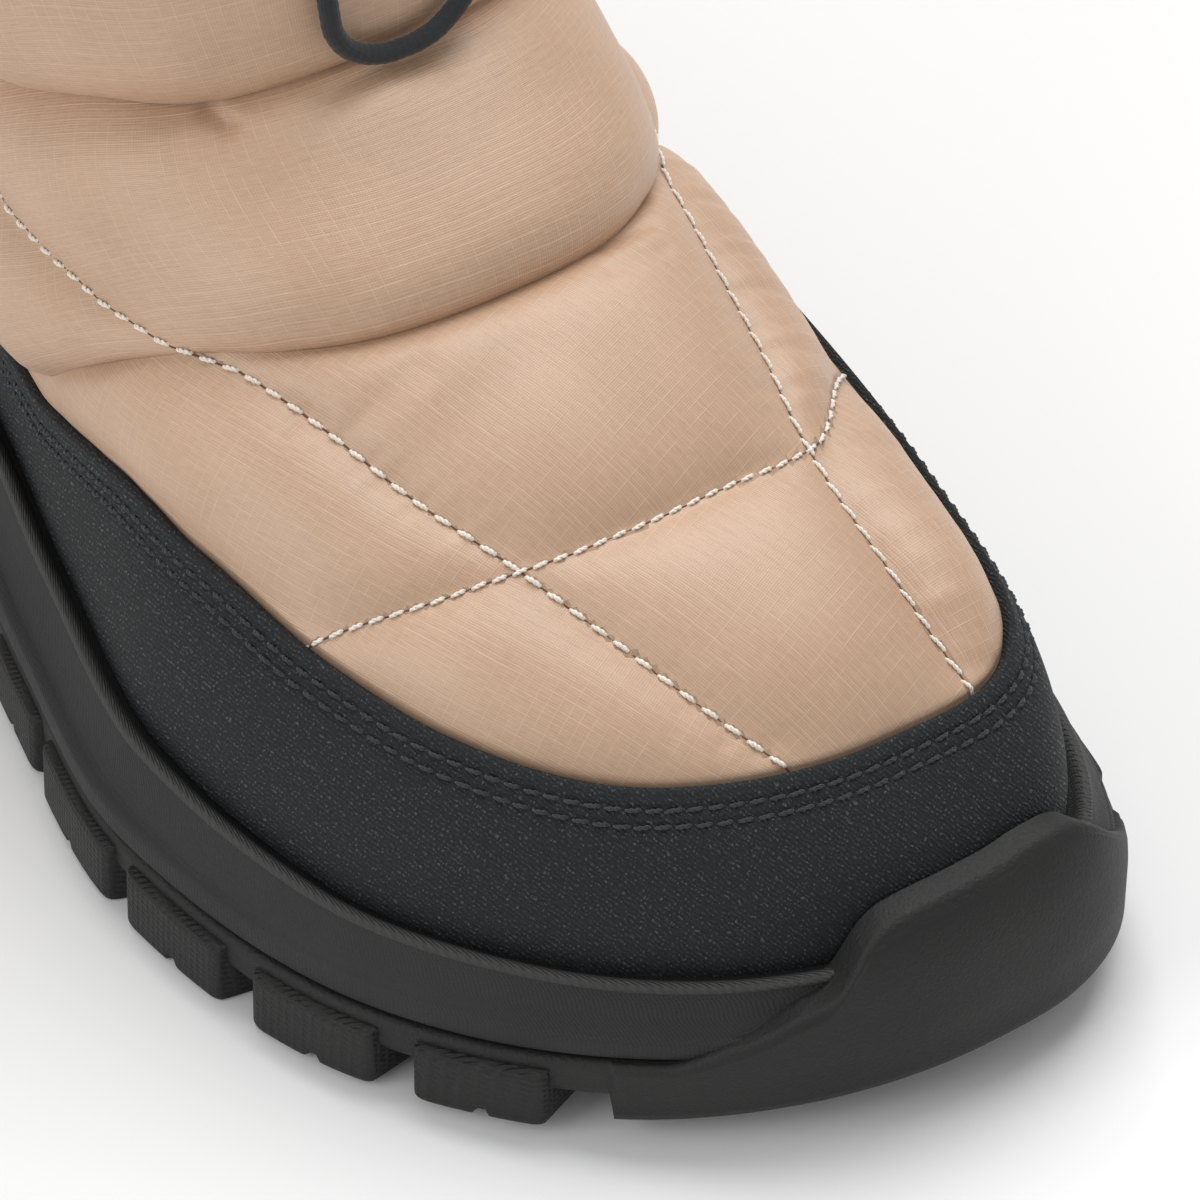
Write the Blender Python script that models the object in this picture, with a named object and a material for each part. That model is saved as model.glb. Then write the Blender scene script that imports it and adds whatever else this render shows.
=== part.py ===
"""Right winter boot: quilted upper, textile rand, midsole, lugged outsole, insole and cord loop.

X runs from heel to toe, Y to the wearer's left (the medial side), Z up from the floor.
The tables hold millimetres measured from the back of the sole; place() moves them to the frame.
"""
import bmesh
import bpy
import numpy as np

MM = 0.001
HALF_LENGTH = 151.3
MIDDLE_Y = 1.3

# The last
NOSE_START = 205.0
NOSE_TIP = 290.0
TAIL_START = 135.0
TAIL_END = 60.0
LATERAL_TOE_POWER = 1.95
MEDIAL_TOE_POWER = 3.6
SECTION_POWER = 2.3
MEDIAL_FULLNESS = 0.5
FOOT_SCALE = 42.0
BLEND = 22.0
LEG_CENTRE_Y = 4.0

# Walls and gaps
WALL = 3.0
GAP = 0.3
RAND_THICKNESS = 1.8
INSOLE_THICKNESS = 4.5
INSOLE_CLEARANCE = 0.5
COLLAR_ROLL = 1.2

# Height of the quilted puffs and how fast they rise from a seam
VAMP_PUFF = 4.0
INSTEP_PUFF = 7.5
SHAFT_PUFF = 8.0
CUFF_PUFF = 7.0
VAMP_BACK = 150.0
VAMP_FADE = 30.0
STITCH_REACH = 5.0
FOLD_REACH = 3.0

# Sole
SOLE_MARGIN = 9.5
TOE_MARGIN = 0.4
LEDGE = 1.2
SEAT_DROP = 0.3
LUG_PROUD = 1.8
LUG_DEPTH = 17.0
LUG_LEAN = 9.0
ARCH = 120.0
LUG_CHAMFER = 0.7
TOE_PROUD = 0.9
TOE_CHAMFER = 2.0
TOE_BLOCK_LATERAL = 274.4
TOE_BLOCK_MEDIAL = 276.0
HEEL_BLOCK = 12.2
NOTCH_LENGTH = 2.4
NOTCH_DEPTH = 1.3
BUMPER_GAP = 0.9
BUMPER_EDGE = 2.4
CUT_GAP = 0.3

# Cord loop
CORD_RADIUS = 1.4

COLUMNS = 50
RAND_LEVELS = (0.0, 0.25, 0.5, 0.75, 0.96)
VAMP_ROWS = 7
INSTEP_ROWS = 5
SHAFT_ROWS = 4
CUFF_ROWS = 4

# Station x, lateral side y, medial side y, ridge y, rise of the ridge above the feather line
FOOT = np.array([
    (60.0, -24.0, 30.0, 4.0, 80.0),
    (100.0, -29.0, 33.5, 5.0, 95.0),
    (130.0, -33.5, 36.5, 6.0, 95.0),
    (155.0, -38.0, 41.0, 6.0, 82.0),
    (180.0, -43.5, 46.0, 6.0, 66.0),
    (212.0, -48.5, 49.5, 6.0, 51.0),
    (243.0, -48.5, 51.0, 8.5, 42.0),
    (265.0, -48.0, 51.0, 15.0, 39.0),
    (292.0, -48.0, 50.0, 19.0, 33.0)])

# Height z, back x, front x, half width, roundness power
LEG = np.array([
    (20.0, 12.5, 118.0, 30.5, 2.3),
    (50.0, 10.0, 134.0, 33.5, 2.3),
    (80.0, 14.0, 152.0, 37.0, 2.25),
    (100.0, 17.0, 166.0, 39.5, 2.2),
    (130.0, 16.0, 161.0, 41.0, 2.2),
    (165.0, 11.0, 150.0, 42.5, 2.2),
    (212.0, 6.0, 141.0, 44.5, 2.2)])

# Station x, then heights: feather line, rand top, vamp fold, ankle fold, shaft seam, collar
LEVELS = np.array([
    (0.0, 36.0, 66.0, 71.0, 97.0, 149.0, 206.0),
    (60.0, 34.6, 56.0, 61.0, 87.0, 150.0, 207.5),
    (100.0, 32.6, 49.0, 54.0, 80.0, 150.5, 208.5),
    (130.0, 30.3, 46.5, 51.0, 79.5, 151.0, 209.0),
    (150.0, 28.8, 46.5, 51.0, 85.0, 151.5, 209.5),
    (165.0, 27.8, 48.8, 53.5, 91.3, 152.0, 210.0),
    (175.0, 27.1, 52.0, 58.5, 93.8, 152.0, 210.0),
    (185.0, 26.4, 55.0, 66.0, 99.5, 152.5, 210.0),
    (194.0, 25.9, 57.0, 71.3, 106.0, 153.0, 210.0),
    (202.0, 25.4, 57.6, 74.0, 112.0, 153.0, 210.0),
    (210.0, 25.0, 57.5, 76.4, 118.0, 153.0, 210.0),
    (232.0, 23.9, 53.7, 92.0, 134.0, 153.0, 210.0),
    (250.0, 23.0, 50.3, 106.0, 144.0, 160.0, 210.0),
    (270.0, 23.2, 48.0, 122.0, 152.0, 170.0, 210.0),
    (292.0, 24.0, 48.0, 140.0, 165.0, 180.0, 210.0)])

# Level, centre x of its ring, half length and half width of the ring's fan of rays
FANS = np.array([
    (0.0, 150.0, 140.0, 50.0),
    (1.0, 146.0, 132.0, 47.0),
    (2.0, 112.0, 100.0, 43.0),
    (3.0, 97.0, 84.0, 42.0),
    (4.0, 86.0, 74.0, 43.0),
    (5.0, 74.0, 68.0, 45.0)])

# Station x, y of the lateral quilting seam, y of the medial quilting seam
LONG_SEAMS = np.array([
    (120.0, -33.0, 38.0),
    (146.0, -34.4, 39.5),
    (180.0, -33.6, 38.8),
    (193.0, -31.4, 37.5),
    (211.0, -26.0, 35.0),
    (226.0, -19.8, 32.8),
    (240.0, -13.1, 30.0),
    (252.0, -7.9, 29.4),
    (264.0, -2.4, 29.6),
    (280.0, 7.0, 31.5)])

# Y across the vamp, x of the cross seam
CROSS_SEAM = np.array([
    (-50.0, 219.0),
    (-36.0, 230.0),
    (-21.0, 237.8),
    (-2.0, 242.4),
    (7.0, 243.0),
    (22.0, 243.0),
    (30.0, 241.8),
    (43.0, 229.0),
    (55.0, 214.0)])

# Station x, height of the lug faces, of the sole between lugs, of the joint under the midsole
SOLE = np.array([
    (0.0, 1.2, 6.5, 15.0),
    (14.0, 0.0, 5.2, 15.0),
    (85.0, 0.0, 5.5, 14.5),
    (105.0, 3.0, 9.5, 14.2),
    (125.0, 3.0, 9.5, 13.2),
    (145.0, 0.0, 5.5, 12.4),
    (230.0, 0.0, 5.0, 12.0),
    (260.0, 1.6, 6.2, 13.0),
    (275.0, 4.4, 8.4, 14.5),
    (285.0, 7.0, 10.4, 15.5),
    (302.0, 11.5, 13.8, 17.5)])

# Midsole rows: offset out from the feather line, share of the wall height, share of the ledge
MIDSOLE_ROWS = (
    (6.5, 0.00, 0.0),
    (8.6, 0.05, 0.6),
    (8.3, 0.30, 1.0),
    (7.9, 0.36, 0.0),
    (5.7, 0.82, 0.0),
    (5.0, 0.88, 0.0),
    (5.7, 0.97, 0.0),
    (4.4, 1.10, 0.0),
    (3.0, 1.04, 0.0))

# Y along the toe, height of the bumper's top edge
BUMPER_TOP = np.array([
    (-18.0, 14.0),
    (-8.0, 18.0),
    (-2.0, 24.0),
    (1.0, 29.0),
    (4.0, 33.0),
    (8.0, 35.2),
    (14.0, 36.2),
    (24.0, 36.7),
    (31.0, 37.2),
    (34.5, 36.4),
    (37.0, 34.0),
    (39.5, 29.0),
    (42.0, 22.0),
    (47.0, 15.0)])
BUMPER_FIRST_TURN = -0.064
BUMPER_LAST_TURN = 0.114
BUMPER_COLUMNS = 19
TURN_PER_MM = 0.0035

# Start and end x of each side lug, the same on both sides
SIDE_LUGS = (
    (14.0, 30.0),
    (34.0, 52.0),
    (56.0, 74.0),
    (78.0, 94.0),
    (140.0, 153.0),
    (156.0, 167.0),
    (171.0, 188.0),
    (191.5, 211.0),
    (214.3, 232.0),
    (236.8, 252.5),
    (256.6, 269.4))

# Centre x and y, half width and arm length of each chevron lug
CHEVRONS = (
    (40.0, 4.0, 13.0, 9.0),
    (62.0, 4.0, 14.0, 9.0),
    (168.0, 1.0, 18.0, 10.0),
    (190.0, 0.5, 21.0, 10.0),
    (212.0, 1.0, 22.0, 10.0),
    (234.0, 3.0, 21.0, 10.0),
    (255.0, 8.0, 17.0, 9.0))

# Points along the middle of the cord, from its lateral end to its medial end
CORD_PATH = (
    (162.4, -1.2, 150.6),
    (166.4, -2.0, 146.8),
    (169.6, -2.7, 141.2),
    (171.8, -3.2, 134.5),
    (174.4, -3.5, 127.6),
    (177.4, -3.7, 121.2),
    (180.4, -3.8, 115.0),
    (182.6, -4.6, 109.8),
    (183.8, -4.8, 106.4),
    (184.3, -3.9, 103.6),
    (184.6, -2.0, 101.4),
    (184.8, 0.6, 99.9),
    (184.9, 3.4, 99.2),
    (184.9, 6.3, 99.1),
    (184.8, 9.2, 99.5),
    (184.4, 12.0, 100.6),
    (183.9, 14.6, 102.4),
    (183.2, 17.0, 104.8),
    (182.3, 18.7, 107.6),
    (181.0, 19.5, 111.0),
    (178.6, 19.4, 116.0),
    (175.6, 18.0, 122.8),
    (172.8, 16.4, 129.6),
    (170.6, 14.8, 136.0),
    (168.2, 13.2, 141.8),
    (165.2, 12.0, 146.8),
    (161.8, 10.6, 150.4))


def smooth(table, column, at):
    """Cubic through one column of a table that never overshoots a row, flat past the end rows."""
    keys = table[:, 0]
    values = table[:, column]
    steps = np.diff(values) / np.diff(keys)
    slopes = np.zeros_like(values)
    same_way = steps[1:] * steps[:-1] > 0
    total = np.where(same_way, steps[1:] + steps[:-1], 1.0)
    slopes[1:-1] = np.where(same_way, 2 * steps[1:] * steps[:-1] / total, 0.0)
    slopes[0] = steps[0]
    slopes[-1] = steps[-1]
    at = np.clip(at, keys[0], keys[-1])
    row = np.clip(np.searchsorted(keys, at) - 1, 0, len(keys) - 2)
    span = keys[row + 1] - keys[row]
    t = (at - keys[row]) / span
    first = values[row] + (3 * t ** 2 - 2 * t ** 3) * (values[row + 1] - values[row])
    bend = (t ** 3 - 2 * t ** 2 + t) * slopes[row] + (t ** 3 - t ** 2) * slopes[row + 1]
    return first + bend * span


def foot(x, y, z):
    """Below zero inside the foot: superellipse sections closed by a rounded toe and a tail."""
    lateral = smooth(FOOT, 1, x)
    medial = smooth(FOOT, 2, x)
    ridge = smooth(FOOT, 3, x)
    rise = smooth(FOOT, 4, x)
    side = y - ridge
    half = np.where(side < 0, ridge - lateral, medial - ridge)
    power = np.where(side < 0, LATERAL_TOE_POWER, MEDIAL_TOE_POWER)
    nose = np.clip((x - NOSE_START) / (NOSE_TIP - NOSE_START), 0, None)
    tail = np.clip((TAIL_START - x) / (TAIL_START - TAIL_END), 0, None)
    end = np.maximum(nose, tail)
    plan = ((np.abs(side) / half) ** power + end ** power) ** (1 / power)
    lift = np.clip(z - smooth(LEVELS, 1, x), 0, None) / rise
    full = SECTION_POWER + MEDIAL_FULLNESS * np.clip(side / half, 0, 1) ** 2
    return ((plan ** full + lift ** full) ** (1 / full) - 1) * FOOT_SCALE


def leg(x, y, z):
    """Below zero inside the heel and shaft: rounded rings from the heel to the collar."""
    back = smooth(LEG, 1, z)
    front = smooth(LEG, 2, z)
    half = smooth(LEG, 3, z)
    power = smooth(LEG, 4, z)
    along = np.abs(x - (back + front) / 2) / ((front - back) / 2)
    across = np.abs(y - LEG_CENTRE_Y) / half
    return ((along ** power + across ** power) ** (1 / power) - 1) * half


def body(x, y, z):
    """Foot and leg blended together."""
    a = foot(x, y, z)
    b = leg(x, y, z)
    near = np.clip(BLEND - np.abs(a - b), 0, None) / BLEND
    return np.minimum(a, b) - near ** 2 * BLEND / 4


def outward(points):
    """Unit normals of the body at points on it."""
    step = 0.05
    slope = np.zeros_like(points)
    for axis in range(3):
        shift = np.zeros(3)
        shift[axis] = step
        ahead = body(*np.moveaxis(points + shift, -1, 0))
        behind = body(*np.moveaxis(points - shift, -1, 0))
        slope[..., axis] = ahead - behind
    return slope / np.linalg.norm(slope, axis=-1, keepdims=True)


def level_height(level, x):
    """Height at x of a level between two of the named ones."""
    low = np.clip(np.floor(level), 0, 4).astype(int)
    part = level - low
    heights = np.stack([smooth(LEVELS, 1 + k, x) for k in range(6)])
    below = np.take_along_axis(heights, low[None], axis=0)[0]
    above = np.take_along_axis(heights, low[None] + 1, axis=0)[0]
    return below + part * (above - below)


def cast(turn, fan_level, height):
    """Where rays from the middle of the boot leave the body; height gives z along the ray."""
    centre = np.interp(fan_level, FANS[:, 0], FANS[:, 1])
    run = np.interp(fan_level, FANS[:, 0], FANS[:, 2]) * np.cos(2 * np.pi * turn)
    across = np.interp(fan_level, FANS[:, 0], FANS[:, 3]) * np.sin(2 * np.pi * turn)
    size = np.hypot(run, across)
    run = run / size
    across = across / size
    near = np.zeros(np.shape(size))
    far = np.full(np.shape(size), 230.0)
    for _ in range(36):
        middle = (near + far) / 2
        x = centre + middle * run
        y = LEG_CENTRE_Y + middle * across
        inside = body(x, y, height(x)) < 0
        near = np.where(inside, middle, near)
        far = np.where(inside, far, middle)
    x = centre + near * run
    return np.stack([x, LEG_CENTRE_Y + near * across, height(x)], axis=-1)


def surface(turn, level):
    """Seam level of the upper: turn 0 at the toe, a quarter at the medial side."""
    turn, level = np.broadcast_arrays(turn, level)
    return cast(turn, level, lambda x: level_height(level, x))


def sole_line(turn):
    """Feather line of the upper and the level direction out of it."""
    turn = np.asarray(turn, dtype=float)
    points = surface(turn, np.zeros_like(turn))
    out = outward(points)
    out[..., 2] = 0
    return points, out / np.linalg.norm(out, axis=-1, keepdims=True)


def wall_point(turn, z, offset):
    """Point beside the boot at height z, offset out from the upper or from the feather line."""
    line, out = sole_line(turn)
    base = line.copy()
    high = z > line[..., 2]
    above = cast(np.asarray(turn, dtype=float), np.zeros_like(z), lambda x: np.maximum(z, line[..., 2]))
    base[high] = above[high]
    base[..., 2] = z
    return base + out * np.asarray(offset)[..., None]


def seam_distance(gap, slope, normals):
    """Distance along the surface from a seam, from its function and that function's slope."""
    across = np.sum(slope * normals, axis=-1, keepdims=True)
    flat = slope - across * normals
    return np.abs(gap) / np.maximum(np.linalg.norm(flat, axis=-1), 0.2)


def slope_of(table, column, at):
    """Slope of a table's curve."""
    return smooth(table, column, at + 0.5) - smooth(table, column, at - 0.5)


def long_seam(points, normals, column):
    """Distance from one of the two seams that run along the foot."""
    x = points[..., 0]
    gap = points[..., 1] - smooth(LONG_SEAMS, column, x)
    slope = np.stack([-slope_of(LONG_SEAMS, column, x), np.ones_like(x), np.zeros_like(x)], axis=-1)
    return seam_distance(gap, slope, normals)


def cross_seam(points, normals):
    """Distance from the seam across the vamp."""
    y = points[..., 1]
    gap = points[..., 0] - smooth(CROSS_SEAM, 1, y)
    slope = np.stack([np.ones_like(y), -slope_of(CROSS_SEAM, 1, y), np.zeros_like(y)], axis=-1)
    return seam_distance(gap, slope, normals)


def level_seam(points, normals, level):
    """Distance from one of the named levels."""
    x = points[..., 0]
    gap = points[..., 2] - smooth(LEVELS, 1 + level, x)
    slope = np.stack([-slope_of(LEVELS, 1 + level, x), np.zeros_like(x), np.ones_like(x)], axis=-1)
    return seam_distance(gap, slope, normals)


def rise(distance, reach):
    """Share of a puff's height at a distance from its seam."""
    return 1 - np.exp(-distance / reach)


def puff(points, normals, level):
    """How far the quilted filling stands out from the seam level."""
    lateral = rise(long_seam(points, normals, 1), STITCH_REACH)
    medial = rise(long_seam(points, normals, 2), STITCH_REACH)
    cross = rise(cross_seam(points, normals), STITCH_REACH)
    edges = [rise(level_seam(points, normals, k), STITCH_REACH) for k in range(6)]
    fold = rise(level_seam(points, normals, 2), FOLD_REACH)
    front = np.clip((points[..., 0] - VAMP_BACK) / VAMP_FADE, 0, 1)
    vamp = VAMP_PUFF * front * lateral * medial * cross * edges[1] * edges[2]
    instep = INSTEP_PUFF * fold * edges[3] * (0.4 + 0.6 * lateral) * (0.4 + 0.6 * medial)
    shaft = SHAFT_PUFF * edges[3] * edges[4]
    cuff = CUFF_PUFF * edges[4] * edges[5]
    return np.select([level <= 1, level <= 2, level <= 3, level <= 4], [0, vamp, instep, shaft], cuff)


def place(points):
    """Millimetres from the heel to metres in the boot's frame."""
    moved = np.asarray(points, dtype=float) - np.array([HALF_LENGTH, MIDDLE_Y, 0.0])
    return moved * MM


def plain_material(name, colour, roughness):
    """A Principled material."""
    material = bpy.data.materials.new(name)
    material.use_nodes = True
    shader = material.node_tree.nodes["Principled BSDF"]
    shader.inputs["Base Color"].default_value = (*colour, 1.0)
    shader.inputs["Roughness"].default_value = roughness
    return material


def mesh_object(name, points, faces, collection):
    """A closed mesh object with its faces turned outward."""
    mesh = bpy.data.meshes.new(name)
    mesh.from_pydata([tuple(p) for p in place(points)], [], faces)
    builder = bmesh.new()
    builder.from_mesh(mesh)
    bmesh.ops.recalc_face_normals(builder, faces=builder.faces)
    builder.to_mesh(mesh)
    builder.free()
    made = bpy.data.objects.new(name, mesh)
    collection.objects.link(made)
    return made


def band_faces(rows, columns, closed):
    """Quads between neighbouring rings; closed joins the last ring to the first."""
    faces = []
    for row in range(rows if closed else rows - 1):
        here = row * columns
        above = ((row + 1) % rows) * columns
        for column in range(columns):
            after = (column + 1) % columns
            faces.append((here + column, here + after, above + after, above + column))
    return faces


def ladder_faces(start, columns):
    """Faces across a ring from its lateral half to its medial half."""
    half = columns // 2
    faces = [(start, start + 1, start + columns - 1)]
    for column in range(1, half - 1):
        faces.append((start + column, start + column + 1,
                      start + columns - column - 1, start + columns - column))
    faces.append((start + half - 1, start + half, start + half + 1))
    return faces


def hoop_solid(name, outer, inner, collection):
    """Solid whose section is a closed loop carried all round the boot.

    The outer rings go up and the inner rings down; both sides split their quads the same way,
    so that a layer laid on another keeps its gap.
    """
    rings = list(outer) + list(inner)
    faces = []
    for a, b, c, d in band_faces(len(rings), len(rings[0]), True):
        if a < len(outer) * len(rings[0]):
            faces += [(a, b, c), (a, c, d)]
        else:
            faces += [(a, b, d), (b, c, d)]
    return mesh_object(name, np.concatenate(rings), faces, collection)


def stack_solid(name, rings, collection):
    """Solid of stacked rings, closed at the bottom and top."""
    columns = len(rings[0])
    faces = band_faces(len(rings), columns, False)
    faces += ladder_faces(0, columns)
    faces += ladder_faces((len(rings) - 1) * columns, columns)
    return mesh_object(name, np.concatenate(rings), faces, collection)


def sector_mesh(sections):
    """Points and faces of a solid lofted through closed sections with flat ends."""
    count = len(sections[0])
    faces = []
    for row in range(len(sections) - 1):
        for k in range(count):
            after = (k + 1) % count
            here = row * count
            faces.append((here + k, here + after, here + count + after, here + count + k))
    last = (len(sections) - 1) * count
    faces.append(tuple(range(count)))
    faces.append(tuple(last + k for k in range(count)))
    return np.concatenate(sections), faces


def joined(pieces):
    """Several point and face lists as one."""
    points = []
    faces = []
    start = 0
    for piece_points, piece_faces in pieces:
        points.append(piece_points)
        faces += [tuple(start + k for k in face) for face in piece_faces]
        start += len(piece_points)
    return np.concatenate(points), faces


def upper_levels():
    """Levels of the upper's rows, from the feather line to the collar."""
    levels = list(RAND_LEVELS) + [1.0]
    for step, rows in enumerate((VAMP_ROWS, INSTEP_ROWS, SHAFT_ROWS, CUFF_ROWS)):
        levels += [1 + step + (k + 1) / rows for k in range(rows)]
    return np.array(levels)


def upper_grid():
    """Seam level points and normals of the upper, row by row."""
    turns = np.arange(COLUMNS) / COLUMNS
    levels = upper_levels()
    points = surface(turns[None, :], levels[:, None])
    return points, outward(points), levels


def build_upper(collection):
    """Hollow quilted upper, open at the collar and underneath."""
    points, normals, levels = upper_grid()
    bulge = puff(points, normals, np.broadcast_to(levels[:, None], points.shape[:2]))
    outer = points + normals * bulge[..., None]
    inner = points - normals * WALL
    inner[0, :, 2] = points[0, :, 2]
    roll = (outer[-1] + inner[-1]) / 2
    roll[:, 2] += COLLAR_ROLL
    return hoop_solid("upper", list(outer) + [roll], inner[::-1], collection)


def build_rand(collection):
    """Textile rand that follows the upper from the sole to its stitched top edge."""
    points, normals, _ = upper_grid()
    low = points[:len(RAND_LEVELS)]
    out = normals[:len(RAND_LEVELS)]
    inner = low + out * GAP
    outer = low + out * (GAP + RAND_THICKNESS)
    inner[0, :, 2] = low[0, :, 2]
    outer[0, :, 2] = low[0, :, 2]
    return hoop_solid("rand", outer, inner[::-1], collection)


def toe_share(x):
    """Zero behind the ball, one at the tip of the toe."""
    return np.clip((x - 225.0) / 65.0, 0, 1)


def sole_side(x):
    """Offset of the sole's side from the feather line."""
    return SOLE_MARGIN + TOE_MARGIN * toe_share(x)


def ledge_share(x):
    """The ledge along the midsole fades out towards the toe."""
    return np.clip((245.0 - x) / 40.0, 0, 1)


def build_midsole(collection):
    """Moulded wall with a ledge and a rolled bead, flat on top under the upper."""
    turns = np.arange(COLUMNS) / COLUMNS
    line, out = sole_line(turns)
    x = line[:, 0]
    joint = smooth(SOLE, 3, x) + GAP / 2
    wall = line[:, 2] + 0.8 - joint
    stretch = sole_side(x) / SOLE_MARGIN
    rings = []
    for offset, share, ledge in MIDSOLE_ROWS:
        reach = offset * (stretch if share < 0.5 else 1.0) + LEDGE * ledge * ledge_share(x)
        ring = line + out * (reach * np.ones_like(x))[:, None]
        ring[:, 2] = joint + share * wall
        rings.append(ring)
    seat = line + out * (GAP + RAND_THICKNESS + 0.6)
    seat[:, 2] = line[:, 2] - SEAT_DROP
    rings.append(seat)
    return stack_solid("midsole", rings, collection)


def bumper_sections(grow):
    """Sections of the toe bumper; grow widens them for the pocket cut in the midsole."""
    turns = np.linspace(BUMPER_FIRST_TURN, BUMPER_LAST_TURN, BUMPER_COLUMNS)
    turns[0] -= grow * TURN_PER_MM
    turns[-1] += grow * TURN_PER_MM
    line, _ = sole_line(turns)
    x = line[:, 0]
    joint = smooth(SOLE, 3, x)
    top = smooth(BUMPER_TOP, 1, line[:, 1]) + grow
    rand_face = GAP + RAND_THICKNESS + BUMPER_GAP
    inner = []
    outer = []
    for share in (0.0, 0.3, 0.55, 0.8, 1.0):
        z = (joint - 3.0) + share * (top - joint + 3.0)
        below = np.clip((line[:, 2] - z) / 14.0, 0, 1)
        inside = rand_face + 3.0 * below - grow
        edge = np.clip((z - joint) / 24.0, 0, 1)
        outside = sole_side(x) - (sole_side(x) - rand_face - BUMPER_EDGE) * edge ** 1.4 + grow
        inner.append(wall_point(turns, z, inside))
        outer.append(wall_point(turns, z - (0.8 if share == 1.0 else 0.0), outside))
    rows = np.stack(inner + outer[::-1])
    return [rows[:, k] for k in range(len(turns))]


def turn_at(x, medial):
    """Turn of the sole's outline at station x on one side."""
    turns = np.linspace(0.5, 0.02, 400) if medial else np.linspace(0.5, 0.98, 400)
    line, _ = sole_line(turns)
    return np.interp(x, line[:, 0], turns)


def lug_section(turn, raised, lean, proud, chamfer):
    """Section of a lug under the sole's edge; lean turns its inner end towards the toe."""
    turns = turn + lean * np.array([0.0, 0.0, 0.0, 0.2, 1.0, 1.0])
    line, _ = sole_line(np.full(6, turn))
    x = line[:, 0]
    floor = smooth(SOLE, 1, x) + raised
    base = smooth(SOLE, 2, x)
    joint = smooth(SOLE, 3, x)
    side = sole_side(x)
    offsets = side + np.array([proud - chamfer, proud, proud - 0.4, -3.0, 2.0 - LUG_DEPTH, -LUG_DEPTH])
    heights = np.stack([floor, floor + 1.7 * chamfer, joint - 1.9, joint - 1.6, base + 1.2, floor])
    z = heights[np.arange(6), np.arange(6)]
    return wall_point(turns, z, offsets)


def side_lug(first, last, lean_size):
    """A side lug between two turns with a notch in its lower edge."""
    middle = (first + last) / 2
    line, _ = sole_line(np.array([first, last]))
    length = np.linalg.norm(line[1] - line[0])
    lean = (last - first) * lean_size / length
    half = (last - first) * NOTCH_LENGTH / length / 2
    turns = (first, middle - half, middle - half / 2, middle + half / 2, middle + half, last)
    raised = (0.0, 0.0, NOTCH_DEPTH, NOTCH_DEPTH, 0.0, 0.0)
    return sector_mesh([lug_section(t, r, lean, LUG_PROUD, LUG_CHAMFER) for t, r in zip(turns, raised)])


def end_lug(first, last, columns, lean, proud, chamfer):
    """The block round the toe or the heel; lean draws both inner ends towards its middle."""
    turns = np.linspace(first, last, columns)
    leans = np.linspace(lean, -lean, columns) * TURN_PER_MM
    return sector_mesh([lug_section(t, 0.0, n, proud, chamfer) for t, n in zip(turns, leans)])


def chevron(x, y, half, arm):
    """A chevron lug under the middle of the sole, pointing to the toe."""
    corners = np.array([
        (x - arm, y - half), (x, y), (x - arm, y + half),
        (x, y + half), (x + arm, y), (x, y - half)])
    floor = smooth(SOLE, 1, corners[:, 0])
    base = smooth(SOLE, 2, corners[:, 0]) + 1.0
    low = np.column_stack([corners, floor])
    high = np.column_stack([corners, base])
    return sector_mesh([low, high])


def combine(target, other, operation):
    """Apply an exact boolean to the target."""
    change = target.modifiers.new(operation.lower(), "BOOLEAN")
    change.operation = operation
    change.solver = "EXACT"
    change.object = other


def build_outsole(collection, cutters):
    """Lugged outsole with the toe bumper, joined into one solid."""
    turns = np.arange(COLUMNS) / COLUMNS
    line, out = sole_line(turns)
    x = line[:, 0]
    base = smooth(SOLE, 2, x)
    joint = smooth(SOLE, 3, x) - GAP / 2
    side = sole_side(x)
    rows = ((side - 3.0, base), (side - 0.9, base + 0.8), (side, base + 2.4),
            (side, joint - 1.3), (side - 0.9, joint))
    rings = []
    for offset, z in rows:
        ring = line + out * offset[:, None]
        ring[:, 2] = z
        rings.append(ring)
    outsole = stack_solid("outsole", rings, collection)
    pieces = [side_lug(turn_at(a, medial), turn_at(b, medial), LUG_LEAN if a > ARCH else 0.0)
              for a, b in SIDE_LUGS for medial in (False, True)]
    toe_first = turn_at(TOE_BLOCK_LATERAL, False) - 1.0
    toe_last = turn_at(TOE_BLOCK_MEDIAL, True)
    pieces.append(end_lug(toe_first, toe_last, 13, LUG_LEAN, TOE_PROUD, TOE_CHAMFER))
    heel_first = turn_at(HEEL_BLOCK, True)
    heel_last = turn_at(HEEL_BLOCK, False)
    pieces.append(end_lug(heel_first, heel_last, 8, 0.0, LUG_PROUD, LUG_CHAMFER))
    pieces += [chevron(*row) for row in CHEVRONS]
    lugs = mesh_object("lug_forms", *joined(pieces), cutters)
    bumper = mesh_object("bumper_form", *sector_mesh(bumper_sections(0.0)), cutters)
    for form in (outsole, lugs, bumper):
        form.modifiers.new("triangles", "TRIANGULATE")
    combine(outsole, lugs, "UNION")
    combine(outsole, bumper, "UNION")
    return outsole


def build_insole(collection):
    """Insole lying on the midsole inside the upper."""
    turns = np.arange(COLUMNS) / COLUMNS
    line, _ = sole_line(turns)
    rings = []
    for lift, trim in ((0.0, 0.4), (INSOLE_THICKNESS - 0.6, 0.0), (INSOLE_THICKNESS, 0.6)):
        z = line[:, 2] + lift
        ring = wall_point(turns, z, -(WALL + INSOLE_CLEARANCE + trim) * np.ones_like(z))
        rings.append(ring)
    return stack_solid("insole", rings, collection)


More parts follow.
